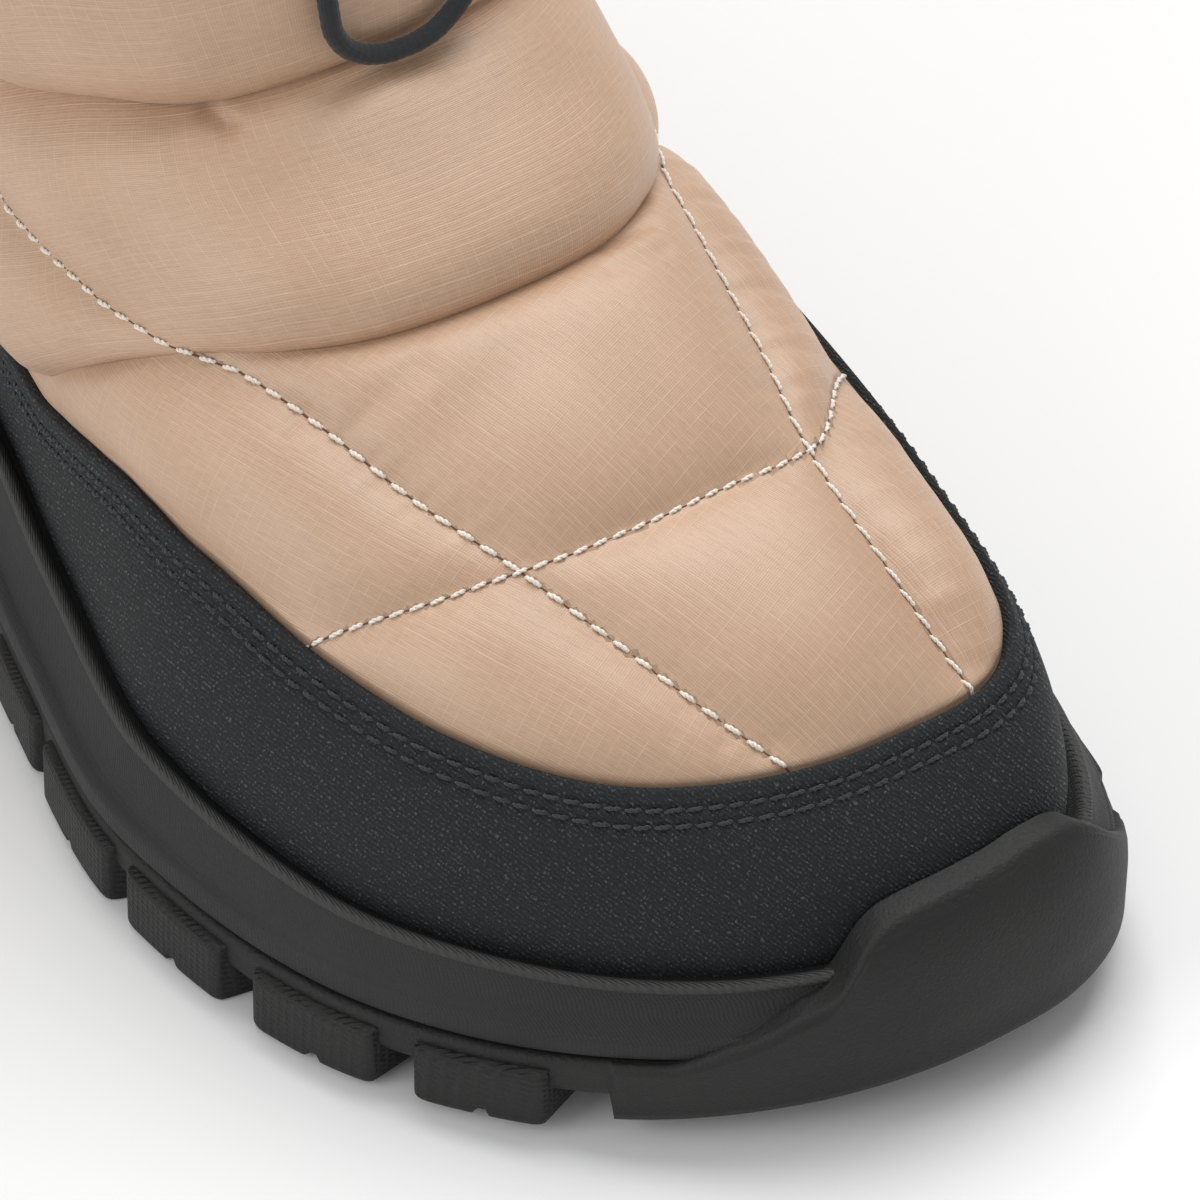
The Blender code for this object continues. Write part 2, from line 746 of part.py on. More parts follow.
def build_cord(collection):
    """Loop of round cord hanging on the front of the shaft."""
    curve = bpy.data.curves.new("drawcord_loop", "CURVE")
    curve.dimensions = "3D"
    curve.bevel_depth = CORD_RADIUS * MM
    curve.bevel_resolution = 2
    curve.resolution_u = 1
    curve.use_fill_caps = True
    spline = curve.splines.new("BEZIER")
    spline.bezier_points.add(len(CORD_PATH) - 1)
    for knot, point in zip(spline.bezier_points, CORD_PATH):
        knot.co = place(np.array(point))
        knot.handle_left_type = "AUTO"
        knot.handle_right_type = "AUTO"
    path = bpy.data.objects.new("drawcord_path", curve)
    mesh = bpy.data.meshes.new_from_object(path)
    builder = bmesh.new()
    builder.from_mesh(mesh)
    bmesh.ops.remove_doubles(builder, verts=builder.verts, dist=0.01 * MM)
    bmesh.ops.recalc_face_normals(builder, faces=builder.faces)
    builder.to_mesh(mesh)
    builder.free()
    bpy.data.objects.remove(path, do_unlink=True)
    loop = bpy.data.objects.new("drawcord_loop", mesh)
    collection.objects.link(loop)
    return loop


def clear_scene():
    """Remove whatever the scene holds."""
    for old in list(bpy.data.objects):
        bpy.data.objects.remove(old, do_unlink=True)


def main():
    clear_scene()
    parts = bpy.data.collections.new("winter_boot")
    cutters = bpy.data.collections.new("cutters")
    bpy.context.scene.collection.children.link(parts)
    bpy.context.scene.collection.children.link(cutters)
    upper = build_upper(parts)
    rand = build_rand(parts)
    midsole = build_midsole(parts)
    outsole = build_outsole(parts, cutters)
    insole = build_insole(parts)
    cord = build_cord(parts)
    pocket = mesh_object("bumper_pocket", *sector_mesh(bumper_sections(CUT_GAP)), cutters)
    combine(midsole, pocket, "DIFFERENCE")
    looks = (
        (upper, "tan_nylon", (0.55, 0.37, 0.24), 0.55),
        (rand, "black_textile", (0.02, 0.021, 0.023), 0.9),
        (midsole, "grey_moulded_wall", (0.045, 0.044, 0.04), 0.75),
        (outsole, "black_rubber", (0.025, 0.024, 0.023), 0.7),
        (insole, "dark_felt", (0.03, 0.03, 0.03), 0.95),
        (cord, "black_cord", (0.01, 0.01, 0.011), 0.6))
    for made, name, colour, roughness in looks:
        made.data.materials.append(plain_material(name, colour, roughness))
    for form in cutters.objects:
        form.hide_render = True
        form.display_type = "WIRE"


main()
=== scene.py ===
"""Looks of the right winter boot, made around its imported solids.

X runs from heel to toe, Y to the wearer's left (the medial side), Z up from the floor.
The tables hold millimetres measured from the back of the sole; place() moves them to the frame.
"""

import bmesh
import bpy
import numpy as np
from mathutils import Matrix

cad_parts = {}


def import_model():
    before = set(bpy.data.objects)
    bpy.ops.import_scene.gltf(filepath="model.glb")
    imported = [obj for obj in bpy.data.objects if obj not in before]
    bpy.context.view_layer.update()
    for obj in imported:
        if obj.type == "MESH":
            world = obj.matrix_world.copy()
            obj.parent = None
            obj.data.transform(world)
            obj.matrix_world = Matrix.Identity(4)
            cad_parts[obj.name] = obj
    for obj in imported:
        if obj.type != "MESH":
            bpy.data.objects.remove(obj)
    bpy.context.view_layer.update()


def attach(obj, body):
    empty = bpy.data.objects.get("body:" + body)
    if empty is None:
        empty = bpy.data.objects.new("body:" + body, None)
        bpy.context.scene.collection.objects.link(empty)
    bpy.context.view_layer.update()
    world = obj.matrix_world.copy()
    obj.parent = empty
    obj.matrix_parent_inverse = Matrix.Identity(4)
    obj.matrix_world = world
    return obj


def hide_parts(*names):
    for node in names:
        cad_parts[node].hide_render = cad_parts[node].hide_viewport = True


MM = 0.001
HALF_LENGTH = 151.3
MIDDLE_Y = 1.3
TAU = 2 * np.pi

# The last
NOSE_START = 205.0
NOSE_TIP = 290.0
TAIL_START = 135.0
TAIL_END = 60.0
LATERAL_TOE_POWER = 1.95
MEDIAL_TOE_POWER = 3.6
SECTION_POWER = 2.3
MEDIAL_FULLNESS = 0.5
FOOT_SCALE = 42.0
BLEND = 22.0
LEG_CENTRE_Y = 4.0

# Walls and gaps
WALL = 3.0
GAP = 0.3
RAND_THICKNESS = 1.8
INSOLE_THICKNESS = 4.5
INSOLE_CLEARANCE = 0.5
INSOLE_DISH = 1.2
COLLAR_ROLL = 1.2
FACING_LEAN = 0.1
LINING_THICKNESS = 0.3
LINING_LUMPS = 0.25

# Height of the quilted puffs and how fast they rise from a seam
VAMP_PUFF = 4.0
INSTEP_PUFF = 7.5
SHAFT_PUFF = 8.0
CUFF_PUFF = 7.0
VAMP_BACK = 150.0
VAMP_FADE = 30.0
STITCH_REACH = 5.0
FOLD_REACH = 3.0
SEAM_ROUND = 0.5
EDGE_LIFT = 0.9
EDGE_LIFT_REACH = 3.0

# Waves pulled up beside the seams: height, spacing, start, reach from the seam
MEDIAL_PULL = (0.42, 5.2, 0.3, 9.0)
INNER_PULL = (0.22, 4.6, 0.9, 4.0)
LATERAL_PULL = (0.14, 4.1, 2.2, 3.0)
CROSS_PULL = (0.12, 4.4, 1.1, 3.0)
PULL_START = 1.5

# Sole
SOLE_MARGIN = 9.5
TOE_MARGIN = 0.4
BALL = 225.0
LEDGE = 1.2
LEDGE_END = 245.0
LEDGE_FADE = 40.0
LUG_PROUD = 1.8
LUG_DEPTH = 17.0
LUG_LEAN = 9.0
LUG_END = 1.8
LUG_END_INSET = 1.1
ARCH = 120.0
TOE_PROUD = 0.6
BLOCK_END = 0.0007
TOE_BLOCK_LATERAL = 274.4
TOE_BLOCK_MEDIAL = 276.0
HEEL_BLOCK = 12.2
NOTCH_DEPTH = 1.3
BUMPER_GAP = 0.9
BUMPER_EDGE = 2.4
BUMPER_RISE = 24.0
BUMPER_LEAN = 1.4
BUMPER_SLANT = 3.0
POCKET_GAP = 0.4
POCKET_SLANT = 2.6
POCKET_EDGE = (-2.6, -1.0)
WALL_DROP = 14.0
SOLE_ROUND = 2.4
LIP = 1.3

# Cord loop
CORD_RADIUS = 1.4

# Stitches; the spans are where each quilting seam shows
LATERAL_SPAN = (146.0, 281.0)
MEDIAL_SPAN = (150.0, 281.0)
CROSS_SPAN = (-47.0, 50.0)
STITCH_PITCH = 2.75
LONG_PITCH = 3.5
BRIDGE_BELOW = 2.4
BRIDGE_ABOVE = 1.8
INSTEP_HANG = 1.0
INSTEP_BACK_HANG = 0.45
INSTEP_SIDES = (150.0, 185.0)
SHAFT_HANG = 1.0
CUFF_HANG = 2.2
HANG_REACH = 1.8
THREAD_RADIUS = 0.21
STITCH_LIFT = 0.12
HOLE_LAP = 0.1
HOLE_DEPTH = 0.05
HOLE_RADIUS = 0.16
RAND_STITCH_PITCH = 2.6
RAND_STITCH_ROWS = (3.4, 5.2)
RAND_STITCH_DENT = 0.32
RAND_STITCH_HALF = 0.55
RAND_LUMPS = 0.1
RAND_EDGE = 0.6

# Camera, in millimetres from the back of the sole
CAMERA_TARGET = (241.0, -1.5, 50.0)
CAMERA_TURN = np.radians(33.0)
CAMERA_TILT = np.radians(45.0)
CAMERA_DISTANCE = 900.0
FOCAL_PIXELS = 7065.0
PHOTO_WIDTH = 1200.0
SENSOR_WIDTH = 36.0

# Studio, in metres and watts: name, spot, target, size and power of each soft box
SOFT_BOXES = (
    ("top_box", (-0.5, 0.6, 1.78), (0.09, 0.0, 0.05), 1.35, 28.0),
    ("side_box", (0.0, -1.2, 0.8), (0.05, 0.0, 0.06), 0.8, 6.0))
SKY_STRENGTH = 0.5
FLOOR_HALF = 3.0

# Station x, lateral side y, medial side y, ridge y, rise of the ridge above the feather line
FOOT = np.array([
    (60.0, -24.0, 30.0, 4.0, 80.0),
    (100.0, -29.0, 33.5, 5.0, 95.0),
    (130.0, -33.5, 36.5, 6.0, 95.0),
    (155.0, -38.0, 41.0, 6.0, 82.0),
    (180.0, -43.5, 46.0, 6.0, 66.0),
    (212.0, -48.5, 49.5, 6.0, 51.0),
    (243.0, -48.5, 51.0, 8.5, 42.0),
    (265.0, -48.0, 51.0, 15.0, 39.0),
    (292.0, -48.0, 50.0, 19.0, 33.0)])

# Height z, back x, front x, half width, roundness power
LEG = np.array([
    (20.0, 12.5, 118.0, 30.5, 2.3),
    (50.0, 10.0, 134.0, 33.5, 2.3),
    (80.0, 14.0, 152.0, 37.0, 2.25),
    (100.0, 17.0, 166.0, 39.5, 2.2),
    (130.0, 16.0, 161.0, 41.0, 2.2),
    (165.0, 11.0, 150.0, 42.5, 2.2),
    (212.0, 6.0, 141.0, 44.5, 2.2)])

# Station x, then heights: feather line, rand top, vamp fold, ankle fold, shaft seam, collar
LEVELS = np.array([
    (0.0, 36.0, 66.0, 66.8, 97.0, 149.0, 206.0),
    (60.0, 34.6, 56.0, 56.8, 87.0, 150.0, 207.5),
    (100.0, 32.6, 49.0, 49.8, 80.0, 150.5, 208.5),
    (130.0, 30.3, 45.8, 46.5, 79.5, 151.0, 209.0),
    (150.0, 28.8, 45.0, 45.6, 85.0, 151.5, 209.5),
    (165.0, 27.8, 46.4, 49.2, 91.3, 152.0, 210.0),
    (175.0, 27.1, 49.6, 58.0, 93.8, 152.0, 210.0),
    (185.0, 26.4, 52.5, 66.0, 99.5, 152.5, 210.0),
    (194.0, 25.9, 54.6, 71.3, 106.0, 153.0, 210.0),
    (202.0, 25.4, 55.2, 74.0, 112.0, 153.0, 210.0),
    (210.0, 25.0, 55.1, 76.4, 118.0, 153.0, 210.0),
    (232.0, 23.9, 51.4, 92.0, 134.0, 153.0, 210.0),
    (250.0, 23.0, 48.1, 106.0, 144.0, 160.0, 210.0),
    (270.0, 23.2, 45.8, 122.0, 152.0, 170.0, 210.0),
    (292.0, 24.0, 45.8, 140.0, 165.0, 180.0, 210.0)])

# Level, centre x of its ring, half length and half width of the ring's fan of rays
FANS = np.array([
    (0.0, 150.0, 140.0, 50.0),
    (1.0, 146.0, 132.0, 47.0),
    (2.0, 112.0, 100.0, 43.0),
    (3.0, 97.0, 84.0, 42.0),
    (4.0, 86.0, 74.0, 43.0),
    (5.0, 74.0, 68.0, 45.0)])

# Station x, y of the lateral quilting seam, y of the medial quilting seam
LONG_SEAMS = np.array([
    (120.0, -33.0, 38.0),
    (146.0, -33.8, 39.5),
    (158.0, -34.5, 39.4),
    (168.0, -34.9, 39.1),
    (176.0, -34.7, 38.9),
    (186.0, -33.3, 38.2),
    (193.0, -31.5, 37.5),
    (200.0, -28.9, 36.6),
    (211.0, -25.1, 35.0),
    (226.0, -19.8, 32.8),
    (240.0, -13.1, 30.0),
    (252.0, -7.9, 29.4),
    (264.0, -2.4, 29.6),
    (280.0, 7.0, 31.5)])

# Y across the vamp, x of the cross seam
CROSS_SEAM = np.array([
    (-50.0, 219.0),
    (-36.0, 230.0),
    (-21.0, 237.8),
    (-2.0, 242.4),
    (7.0, 243.0),
    (22.0, 243.0),
    (30.0, 241.8),
    (43.0, 229.0),
    (55.0, 214.0)])

# Station x, height of the lug faces, of the sole between lugs, of the joint under the midsole
SOLE = np.array([
    (0.0, 1.2, 6.5, 15.0),
    (14.0, 0.0, 5.2, 15.0),
    (85.0, 0.0, 5.5, 14.5),
    (105.0, 3.0, 9.5, 14.2),
    (125.0, 3.0, 9.5, 13.2),
    (145.0, 0.0, 5.5, 12.4),
    (230.0, 0.0, 5.0, 12.0),
    (260.0, 1.6, 6.2, 13.0),
    (275.0, 3.2, 7.6, 14.5),
    (285.0, 5.4, 9.4, 15.5),
    (302.0, 10.0, 13.0, 17.5)])

# Y along the toe, height of the bumper's top edge
BUMPER_TOP = np.array([
    (-18.0, 14.0),
    (-14.5, 14.8),
    (-10.5, 17.2),
    (-6.0, 19.6),
    (-2.5, 22.0),
    (0.5, 23.4),
    (2.0, 24.8),
    (3.3, 27.0),
    (4.5, 29.0),
    (6.0, 30.8),
    (8.7, 32.4),
    (14.0, 33.3),
    (24.0, 33.7),
    (28.5, 34.1),
    (32.0, 33.7),
    (34.5, 32.4),
    (36.0, 30.4),
    (38.3, 25.6),
    (40.7, 20.3),
    (42.5, 16.5),
    (47.0, 14.5)])
BUMPER_FIRST_TURN = -0.064
BUMPER_LAST_TURN = 0.114

# Start and end x of each side lug, the same on both sides
SIDE_LUGS = (
    (14.0, 30.0),
    (34.0, 52.0),
    (56.0, 74.0),
    (78.0, 94.0),
    (140.0, 153.0),
    (156.0, 167.0),
    (171.0, 188.0),
    (191.5, 211.0),
    (214.3, 232.0),
    (236.8, 252.5),
    (256.6, 269.4))

# Centre x and y, half width and arm length of each chevron lug
CHEVRONS = (
    (40.0, 4.0, 13.0, 9.0),
    (62.0, 4.0, 14.0, 9.0),
    (168.0, 1.0, 18.0, 10.0),
    (190.0, 0.5, 21.0, 10.0),
    (212.0, 1.0, 22.0, 10.0),
    (234.0, 3.0, 21.0, 10.0),
    (255.0, 8.0, 17.0, 9.0))

# Points along the middle of the cord, from its lateral end to its medial end
CORD_PATH = (
    (162.4, -1.2, 150.6),
    (166.4, -2.0, 146.8),
    (169.6, -2.7, 141.2),
    (171.8, -3.2, 134.5),
    (174.4, -3.5, 127.6),
    (177.4, -3.7, 121.2),
    (180.4, -3.8, 115.0),
    (182.6, -4.6, 109.8),
    (183.8, -4.8, 106.4),
    (184.3, -3.9, 103.6),
    (184.6, -2.0, 101.4),
    (184.8, 0.6, 99.9),
    (184.9, 3.4, 99.2),
    (184.9, 6.3, 99.1),
    (184.8, 9.2, 99.5),
    (184.4, 12.0, 100.6),
    (183.9, 14.6, 102.4),
    (183.2, 17.0, 104.8),
    (182.3, 18.7, 107.6),
    (181.0, 19.5, 111.0),
    (178.6, 19.4, 116.0),
    (175.6, 18.0, 122.8),
    (172.8, 16.4, 129.6),
    (170.6, 14.8, 136.0),
    (168.2, 13.2, 141.8),
    (165.2, 12.0, 146.8),
    (161.8, 10.6, 150.4))


# Creases: start and end on the upper, then depth and half width
CREASES = np.array([
    (215.7, -20.9, 72.0, 215.1, -12.3, 75.8, 0.6, 2.6),
    (209.5, -29.4, 68.9, 208.9, -26.0, 70.5, 0.35, 1.3),
    (205.0, 21.0, 76.5, 202.4, 30.5, 74.1, 0.5, 1.2),
    (209.5, 19.0, 76.0, 208.1, 27.9, 75.1, 0.45, 1.3),
    (214.3, 17.7, 76.9, 212.7, 26.9, 74.9, 0.35, 1.5),
    (266.4, -11.2, 47.0, 266.5, -7.0, 50.2, 0.4, 1.0),
    (268.6, -7.5, 47.0, 268.8, -5.1, 48.8, 0.3, 0.8),
    (269.6, -4.0, 47.0, 270.1, -1.5, 49.0, 0.4, 0.9),
    (175.8, -19.0, 93.3, 180.0, -18.6, 93.1, 1.4, 1.5),
    (180.0, -18.6, 93.1, 185.7, -16.7, 92.7, 0.5, 2.2),
    (185.1, 6.1, 96.3, 187.1, 10.3, 95.7, 0.8, 3.2),
    (223.2, -15.5, 71.2, 219.8, 0.2, 76.1, 0.5, 5.0),
    (178.1, -16.5, 102.2, 181.6, -3.8, 103.7, 0.5, 3.0)])

CURVES = {}
CURVE_SAMPLES = 4000


def smooth(table, column, at):
    """Curve through one column of a named table, sampled finely once and kept."""
    key = (id(table), column)
    if key not in CURVES:
        fine = np.linspace(table[0, 0], table[-1, 0], CURVE_SAMPLES)
        CURVES[key] = (fine, curve(table, column, fine))
    return np.interp(at, *CURVES[key])


def curve(table, column, at):
    """Cubic through one column of a table that never overshoots a row, flat past the end rows."""
    keys = table[:, 0]
    values = table[:, column]
    steps = np.diff(values) / np.diff(keys)
    slopes = np.zeros_like(values)
    same_way = steps[1:] * steps[:-1] > 0
    total = np.where(same_way, steps[1:] + steps[:-1], 1.0)
    slopes[1:-1] = np.where(same_way, 2 * steps[1:] * steps[:-1] / total, 0.0)
    slopes[0] = steps[0]
    slopes[-1] = steps[-1]
    at = np.clip(at, keys[0], keys[-1])
    row = np.clip(np.searchsorted(keys, at) - 1, 0, len(keys) - 2)
    span = keys[row + 1] - keys[row]
    t = (at - keys[row]) / span
    first = values[row] + (3 * t ** 2 - 2 * t ** 3) * (values[row + 1] - values[row])
    bend = (t ** 3 - 2 * t ** 2 + t) * slopes[row] + (t ** 3 - t ** 2) * slopes[row + 1]
    return first + bend * span


def ease(value, low, high):
    """Smooth step from zero at low to one at high."""
    t = np.clip((value - low) / (high - low), 0, 1)
    return t * t * (3 - 2 * t)


def unit(vectors):
    """Vectors scaled to length one."""
    return vectors / np.linalg.norm(vectors, axis=-1, keepdims=True)


def travelled(points):
    """Distance along a line of points, from its start."""
    return np.concatenate([[0], np.cumsum(np.linalg.norm(np.diff(points, axis=0), axis=1))])


def between(stations, travel, values):
    """Rows of values read at stations along a line."""
    return np.column_stack([np.interp(stations, travel, values[:, axis]) for axis in range(3)])


def foot(x, y, z):
    """Below zero inside the foot: superellipse sections closed by a rounded toe and a tail."""
    lateral = smooth(FOOT, 1, x)
    medial = smooth(FOOT, 2, x)
    ridge = smooth(FOOT, 3, x)
    rise_here = smooth(FOOT, 4, x)
    side = y - ridge
    half = np.where(side < 0, ridge - lateral, medial - ridge)
    power = np.where(side < 0, LATERAL_TOE_POWER, MEDIAL_TOE_POWER)
    nose = np.clip((x - NOSE_START) / (NOSE_TIP - NOSE_START), 0, None)
    tail = np.clip((TAIL_START - x) / (TAIL_START - TAIL_END), 0, None)
    end = np.maximum(nose, tail)
    plan = ((np.abs(side) / half) ** power + end ** power) ** (1 / power)
    lift = np.clip(z - smooth(LEVELS, 1, x), 0, None) / rise_here
    full = SECTION_POWER + MEDIAL_FULLNESS * np.clip(side / half, 0, 1) ** 2
    return ((plan ** full + lift ** full) ** (1 / full) - 1) * FOOT_SCALE


def leg(x, y, z):
    """Below zero inside the heel and shaft: rounded rings from the heel to the collar."""
    back = smooth(LEG, 1, z)
    front = smooth(LEG, 2, z)
    half = smooth(LEG, 3, z)
    power = smooth(LEG, 4, z)
    along = np.abs(x - (back + front) / 2) / ((front - back) / 2)
    across = np.abs(y - LEG_CENTRE_Y) / half
    return ((along ** power + across ** power) ** (1 / power) - 1) * half


def body(x, y, z):
    """Foot and leg blended together."""
    a = foot(x, y, z)
    b = leg(x, y, z)
    near = np.clip(BLEND - np.abs(a - b), 0, None) / BLEND
    return np.minimum(a, b) - near ** 2 * BLEND / 4


def outward(points):
    """Unit normals of the body at points on it."""
    step = 0.05
    slope = np.zeros_like(points)
    for axis in range(3):
        shift = np.zeros(3)
        shift[axis] = step
        ahead = body(*np.moveaxis(points + shift, -1, 0))
        behind = body(*np.moveaxis(points - shift, -1, 0))
        slope[..., axis] = ahead - behind
    return unit(slope)


def level_height(level, x):
    """Height at x of a level between two of the named ones."""
    low = np.clip(np.floor(level), 0, 4).astype(int)
    part = level - low
    heights = np.stack([smooth(LEVELS, 1 + k, x) for k in range(6)])
    below = np.take_along_axis(heights, low[None], axis=0)[0]
    above = np.take_along_axis(heights, low[None] + 1, axis=0)[0]
    return below + part * (above - below)


def cast(turn, fan_level, height):
    """Where rays from the middle of the boot leave the body; height gives z along the ray."""
    centre = np.interp(fan_level, FANS[:, 0], FANS[:, 1])
    run = np.interp(fan_level, FANS[:, 0], FANS[:, 2]) * np.cos(TAU * turn)
    across = np.interp(fan_level, FANS[:, 0], FANS[:, 3]) * np.sin(TAU * turn)
    size = np.hypot(run, across)
    run = run / size
    across = across / size
    near = np.zeros(np.shape(size))
    far = np.full(np.shape(size), 230.0)
    for _ in range(26):
        middle = (near + far) / 2
        x = centre + middle * run
        y = LEG_CENTRE_Y + middle * across
        inside = body(x, y, height(x)) < 0
        near = np.where(inside, middle, near)
        far = np.where(inside, far, middle)
    x = centre + near * run
    return np.stack([x, LEG_CENTRE_Y + near * across, height(x)], axis=-1)


def surface(turn, level):
    """Seam level of the upper: turn 0 at the toe, a quarter at the medial side."""
    turn, level = np.broadcast_arrays(turn, level)
    return cast(turn, level, lambda x: level_height(level, x))


def sole_line(turn):
    """Feather line of the upper and the level direction out of it."""
    turn = np.asarray(turn, dtype=float)
    points = surface(turn, np.zeros_like(turn))
    out = outward(points)
    out[..., 2] = 0
    return points, unit(out)


def wall_point(turn, z, offset):
    """Point beside the boot at height z, offset out from the upper or from the feather line."""
    line, out = sole_line(turn)
    base = line.copy()
    high = z > line[..., 2]
    above = cast(np.asarray(turn, dtype=float), np.zeros_like(z), lambda x: np.maximum(z, line[..., 2]))
    base[high] = above[high]
    base[..., 2] = z
    return base + out * np.asarray(offset)[..., None]


def seam_distance(gap, slope, normals):
    """Signed distance along the surface from a seam, from its function and that function's slope."""
    across = np.sum(slope * normals, axis=-1, keepdims=True)
    flat = slope - across * normals
    return gap / np.maximum(np.linalg.norm(flat, axis=-1), 0.2)


def slope_of(table, column, at):
    """Slope of a table's curve."""
    return smooth(table, column, at + 0.5) - smooth(table, column, at - 0.5)


def long_seam(points, normals, column):
    """Signed distance from one of the two seams that run along the foot."""
    x = points[..., 0]
    gap = points[..., 1] - smooth(LONG_SEAMS, column, x)
    slope = np.stack([-slope_of(LONG_SEAMS, column, x), np.ones_like(x), np.zeros_like(x)], axis=-1)
    return seam_distance(gap, slope, normals)


def cross_seam(points, normals):
    """Signed distance from the seam across the vamp."""
    y = points[..., 1]
    gap = points[..., 0] - smooth(CROSS_SEAM, 1, y)
    slope = np.stack([np.ones_like(y), -slope_of(CROSS_SEAM, 1, y), np.zeros_like(y)], axis=-1)
    return seam_distance(gap, slope, normals)


def level_seam(points, normals, level):
    """Signed distance from one of the named levels."""
    x = points[..., 0]
    gap = points[..., 2] - smooth(LEVELS, 1 + level, x)
    slope = np.stack([-slope_of(LEVELS, 1 + level, x), np.zeros_like(x), np.ones_like(x)], axis=-1)
    return seam_distance(gap, slope, normals)


def soft(distance):
    """Distance from a seam with the sharp bottom of the valley rounded."""
    return np.sqrt(distance ** 2 + SEAM_ROUND ** 2) - SEAM_ROUND


def rise(distance, reach):
    """Share of a puff's height at a distance from its seam."""
    return 1 - np.exp(-soft(distance) / reach)


def ripple(along, spacing, start):
    """Uneven waves along a seam, between minus one and one."""
    total = np.sin(TAU * along / spacing + start)
    total = total + 0.7 * np.sin(TAU * along / (spacing * 0.61) + 1.7 + 2 * start)
    total = total + 0.6 * np.sin(TAU * along / (spacing * 1.73) + 4.1 - start)
    return total / 2.3


def pulled(along, gap, row):
    """Waves that a row of stitches pulls into the cloth beside it."""
    height, spacing, start, reach = row
    return height * ripple(along, spacing, start) * np.exp(-np.abs(gap) / reach)


def lumps(points):
    """Slow unevenness of a filled panel, between minus one and one."""
    x, y, z = np.moveaxis(points, -1, 0)
    total = np.sin(x / 5.1 + 0.8 * np.sin(y / 7.3)) * np.cos(y / 6.1 + 0.4)
    total = total + np.sin(y / 4.3 + z / 6.7 + 1.3) * np.cos(x / 8.2 - z / 9.1)
    return total / 2


def creased(points, normals, height):
    """Height of a panel less its listed creases."""
    shown = points + normals * height[..., None]
    for row in CREASES:
        along = row[3:6] - row[:3]
        share = np.clip((shown - row[:3]) @ along / (along @ along), 0, 1)
        away = np.linalg.norm(shown - row[:3] - share[..., None] * along, axis=-1)
        height = height - row[6] * np.exp(-(away / row[7]) ** 2)
    return height


def vamp_form(points, normals):
    """How far the vamp stands out from the seam level."""
    lateral_gap = long_seam(points, normals, 1)
    medial_gap = long_seam(points, normals, 2)
    cross_gap = cross_seam(points, normals)
    edge_gap = level_seam(points, normals, 1)
    fold_gap = level_seam(points, normals, 2)
    front = np.clip((points[..., 0] - VAMP_BACK) / VAMP_FADE, 0, 1)
    height = VAMP_PUFF * front * rise(lateral_gap, STITCH_REACH) * rise(medial_gap, STITCH_REACH)
    height = height * rise(cross_gap, STITCH_REACH) * rise(edge_gap, STITCH_REACH)
    height = height * rise(fold_gap, FOLD_REACH)
    x = points[..., 0]
    y = points[..., 1]
    beside = pulled(x, medial_gap, MEDIAL_PULL)
    pull = np.where(medial_gap > 0, beside, pulled(x, medial_gap, INNER_PULL))
    pull = pull * (1 - np.exp(-np.abs(medial_gap) / PULL_START))
    pull = pull + pulled(x, lateral_gap, LATERAL_PULL) + pulled(y, cross_gap, CROSS_PULL)
    lift = EDGE_LIFT * np.exp(-np.abs(edge_gap) / EDGE_LIFT_REACH)
    shown = ease(edge_gap, -1.2, 0.2)
    height = height + lift + front * (pull + 0.12 * lumps(points))
    return creased(points, normals, height) * shown


def instep_form(points, normals):
    """How far the instep panel stands out from the seam level."""
    lateral = rise(long_seam(points, normals, 1), STITCH_REACH)
    medial = rise(long_seam(points, normals, 2), STITCH_REACH)
    fold = rise(level_seam(points, normals, 2), FOLD_REACH)
    ankle = rise(level_seam(points, normals, 3), STITCH_REACH)
    height = INSTEP_PUFF * fold * ankle * (0.4 + 0.6 * lateral) * (0.4 + 0.6 * medial)
    return creased(points, normals, height + 0.2 * lumps(points * 0.8))


def shaft_form(points, normals):
    """How far the lower channel of the shaft stands out."""
    ankle = rise(level_seam(points, normals, 3), STITCH_REACH)
    top = rise(level_seam(points, normals, 4), STITCH_REACH)
    return creased(points, normals, SHAFT_PUFF * ankle * top + 0.25 * lumps(points * 0.7))


def cuff_form(points, normals):
    """How far the upper channel of the shaft stands out."""
    seam = rise(level_seam(points, normals, 4), STITCH_REACH)
    collar = rise(level_seam(points, normals, 5), STITCH_REACH)
    return CUFF_PUFF * seam * collar + 0.25 * lumps(points * 0.7)


def hang(points, normals, level, amount, reach):
    """Moves a panel's lower edge down over the seam that it starts from."""
    gap = np.abs(level_seam(points, normals, level))
    x = points[..., 0]
    slope = np.stack([-slope_of(LEVELS, 1 + level, x), np.zeros_like(x), np.ones_like(x)], axis=-1)
    flat = slope - np.sum(slope * normals, axis=-1, keepdims=True) * normals
    flat = flat / np.maximum(np.linalg.norm(flat, axis=-1, keepdims=True), 0.2)
    share = (gap / reach) * np.exp(1 - gap / reach)
    return -flat * (amount * share)[..., None]


def place(points):
    """Millimetres from the heel to metres in the boot's frame."""
    moved = np.asarray(points, dtype=float) - np.array([HALF_LENGTH, MIDDLE_Y, 0.0])
    return moved * MM


def grid_faces(rows, columns, closed):
    """Quads of a grid; closed joins the last column to the first."""
    shown = columns if closed else columns - 1
    row, column = np.meshgrid(np.arange(rows - 1), np.arange(shown), indexing="ij")
    after = (column + 1) % columns
    here = row * columns
    quads = np.stack([here + column, here + after, here + columns + after, here + columns + column], axis=-1)
    return quads.reshape(-1, 4)


def cap_faces(start, columns, upward):
    """Quads across a ring from its lateral half to its medial half."""
    half = columns // 2
    column = np.arange(0, half)
    other = (columns - column) % columns
    before = columns - column - 1
    quads = np.stack([start + column, start + column + 1, start + before, start + other], axis=-1)
    return quads if upward else quads[:, ::-1]


def capped(rows):
    """Points and faces of rings of points, closed at both ends."""
    columns = len(rows[0])
    faces = list(grid_faces(len(rows), columns, True))
    faces += list(cap_faces(0, columns, False))
    faces += list(cap_faces((len(rows) - 1) * columns, columns, True))
    return np.concatenate(rows), faces


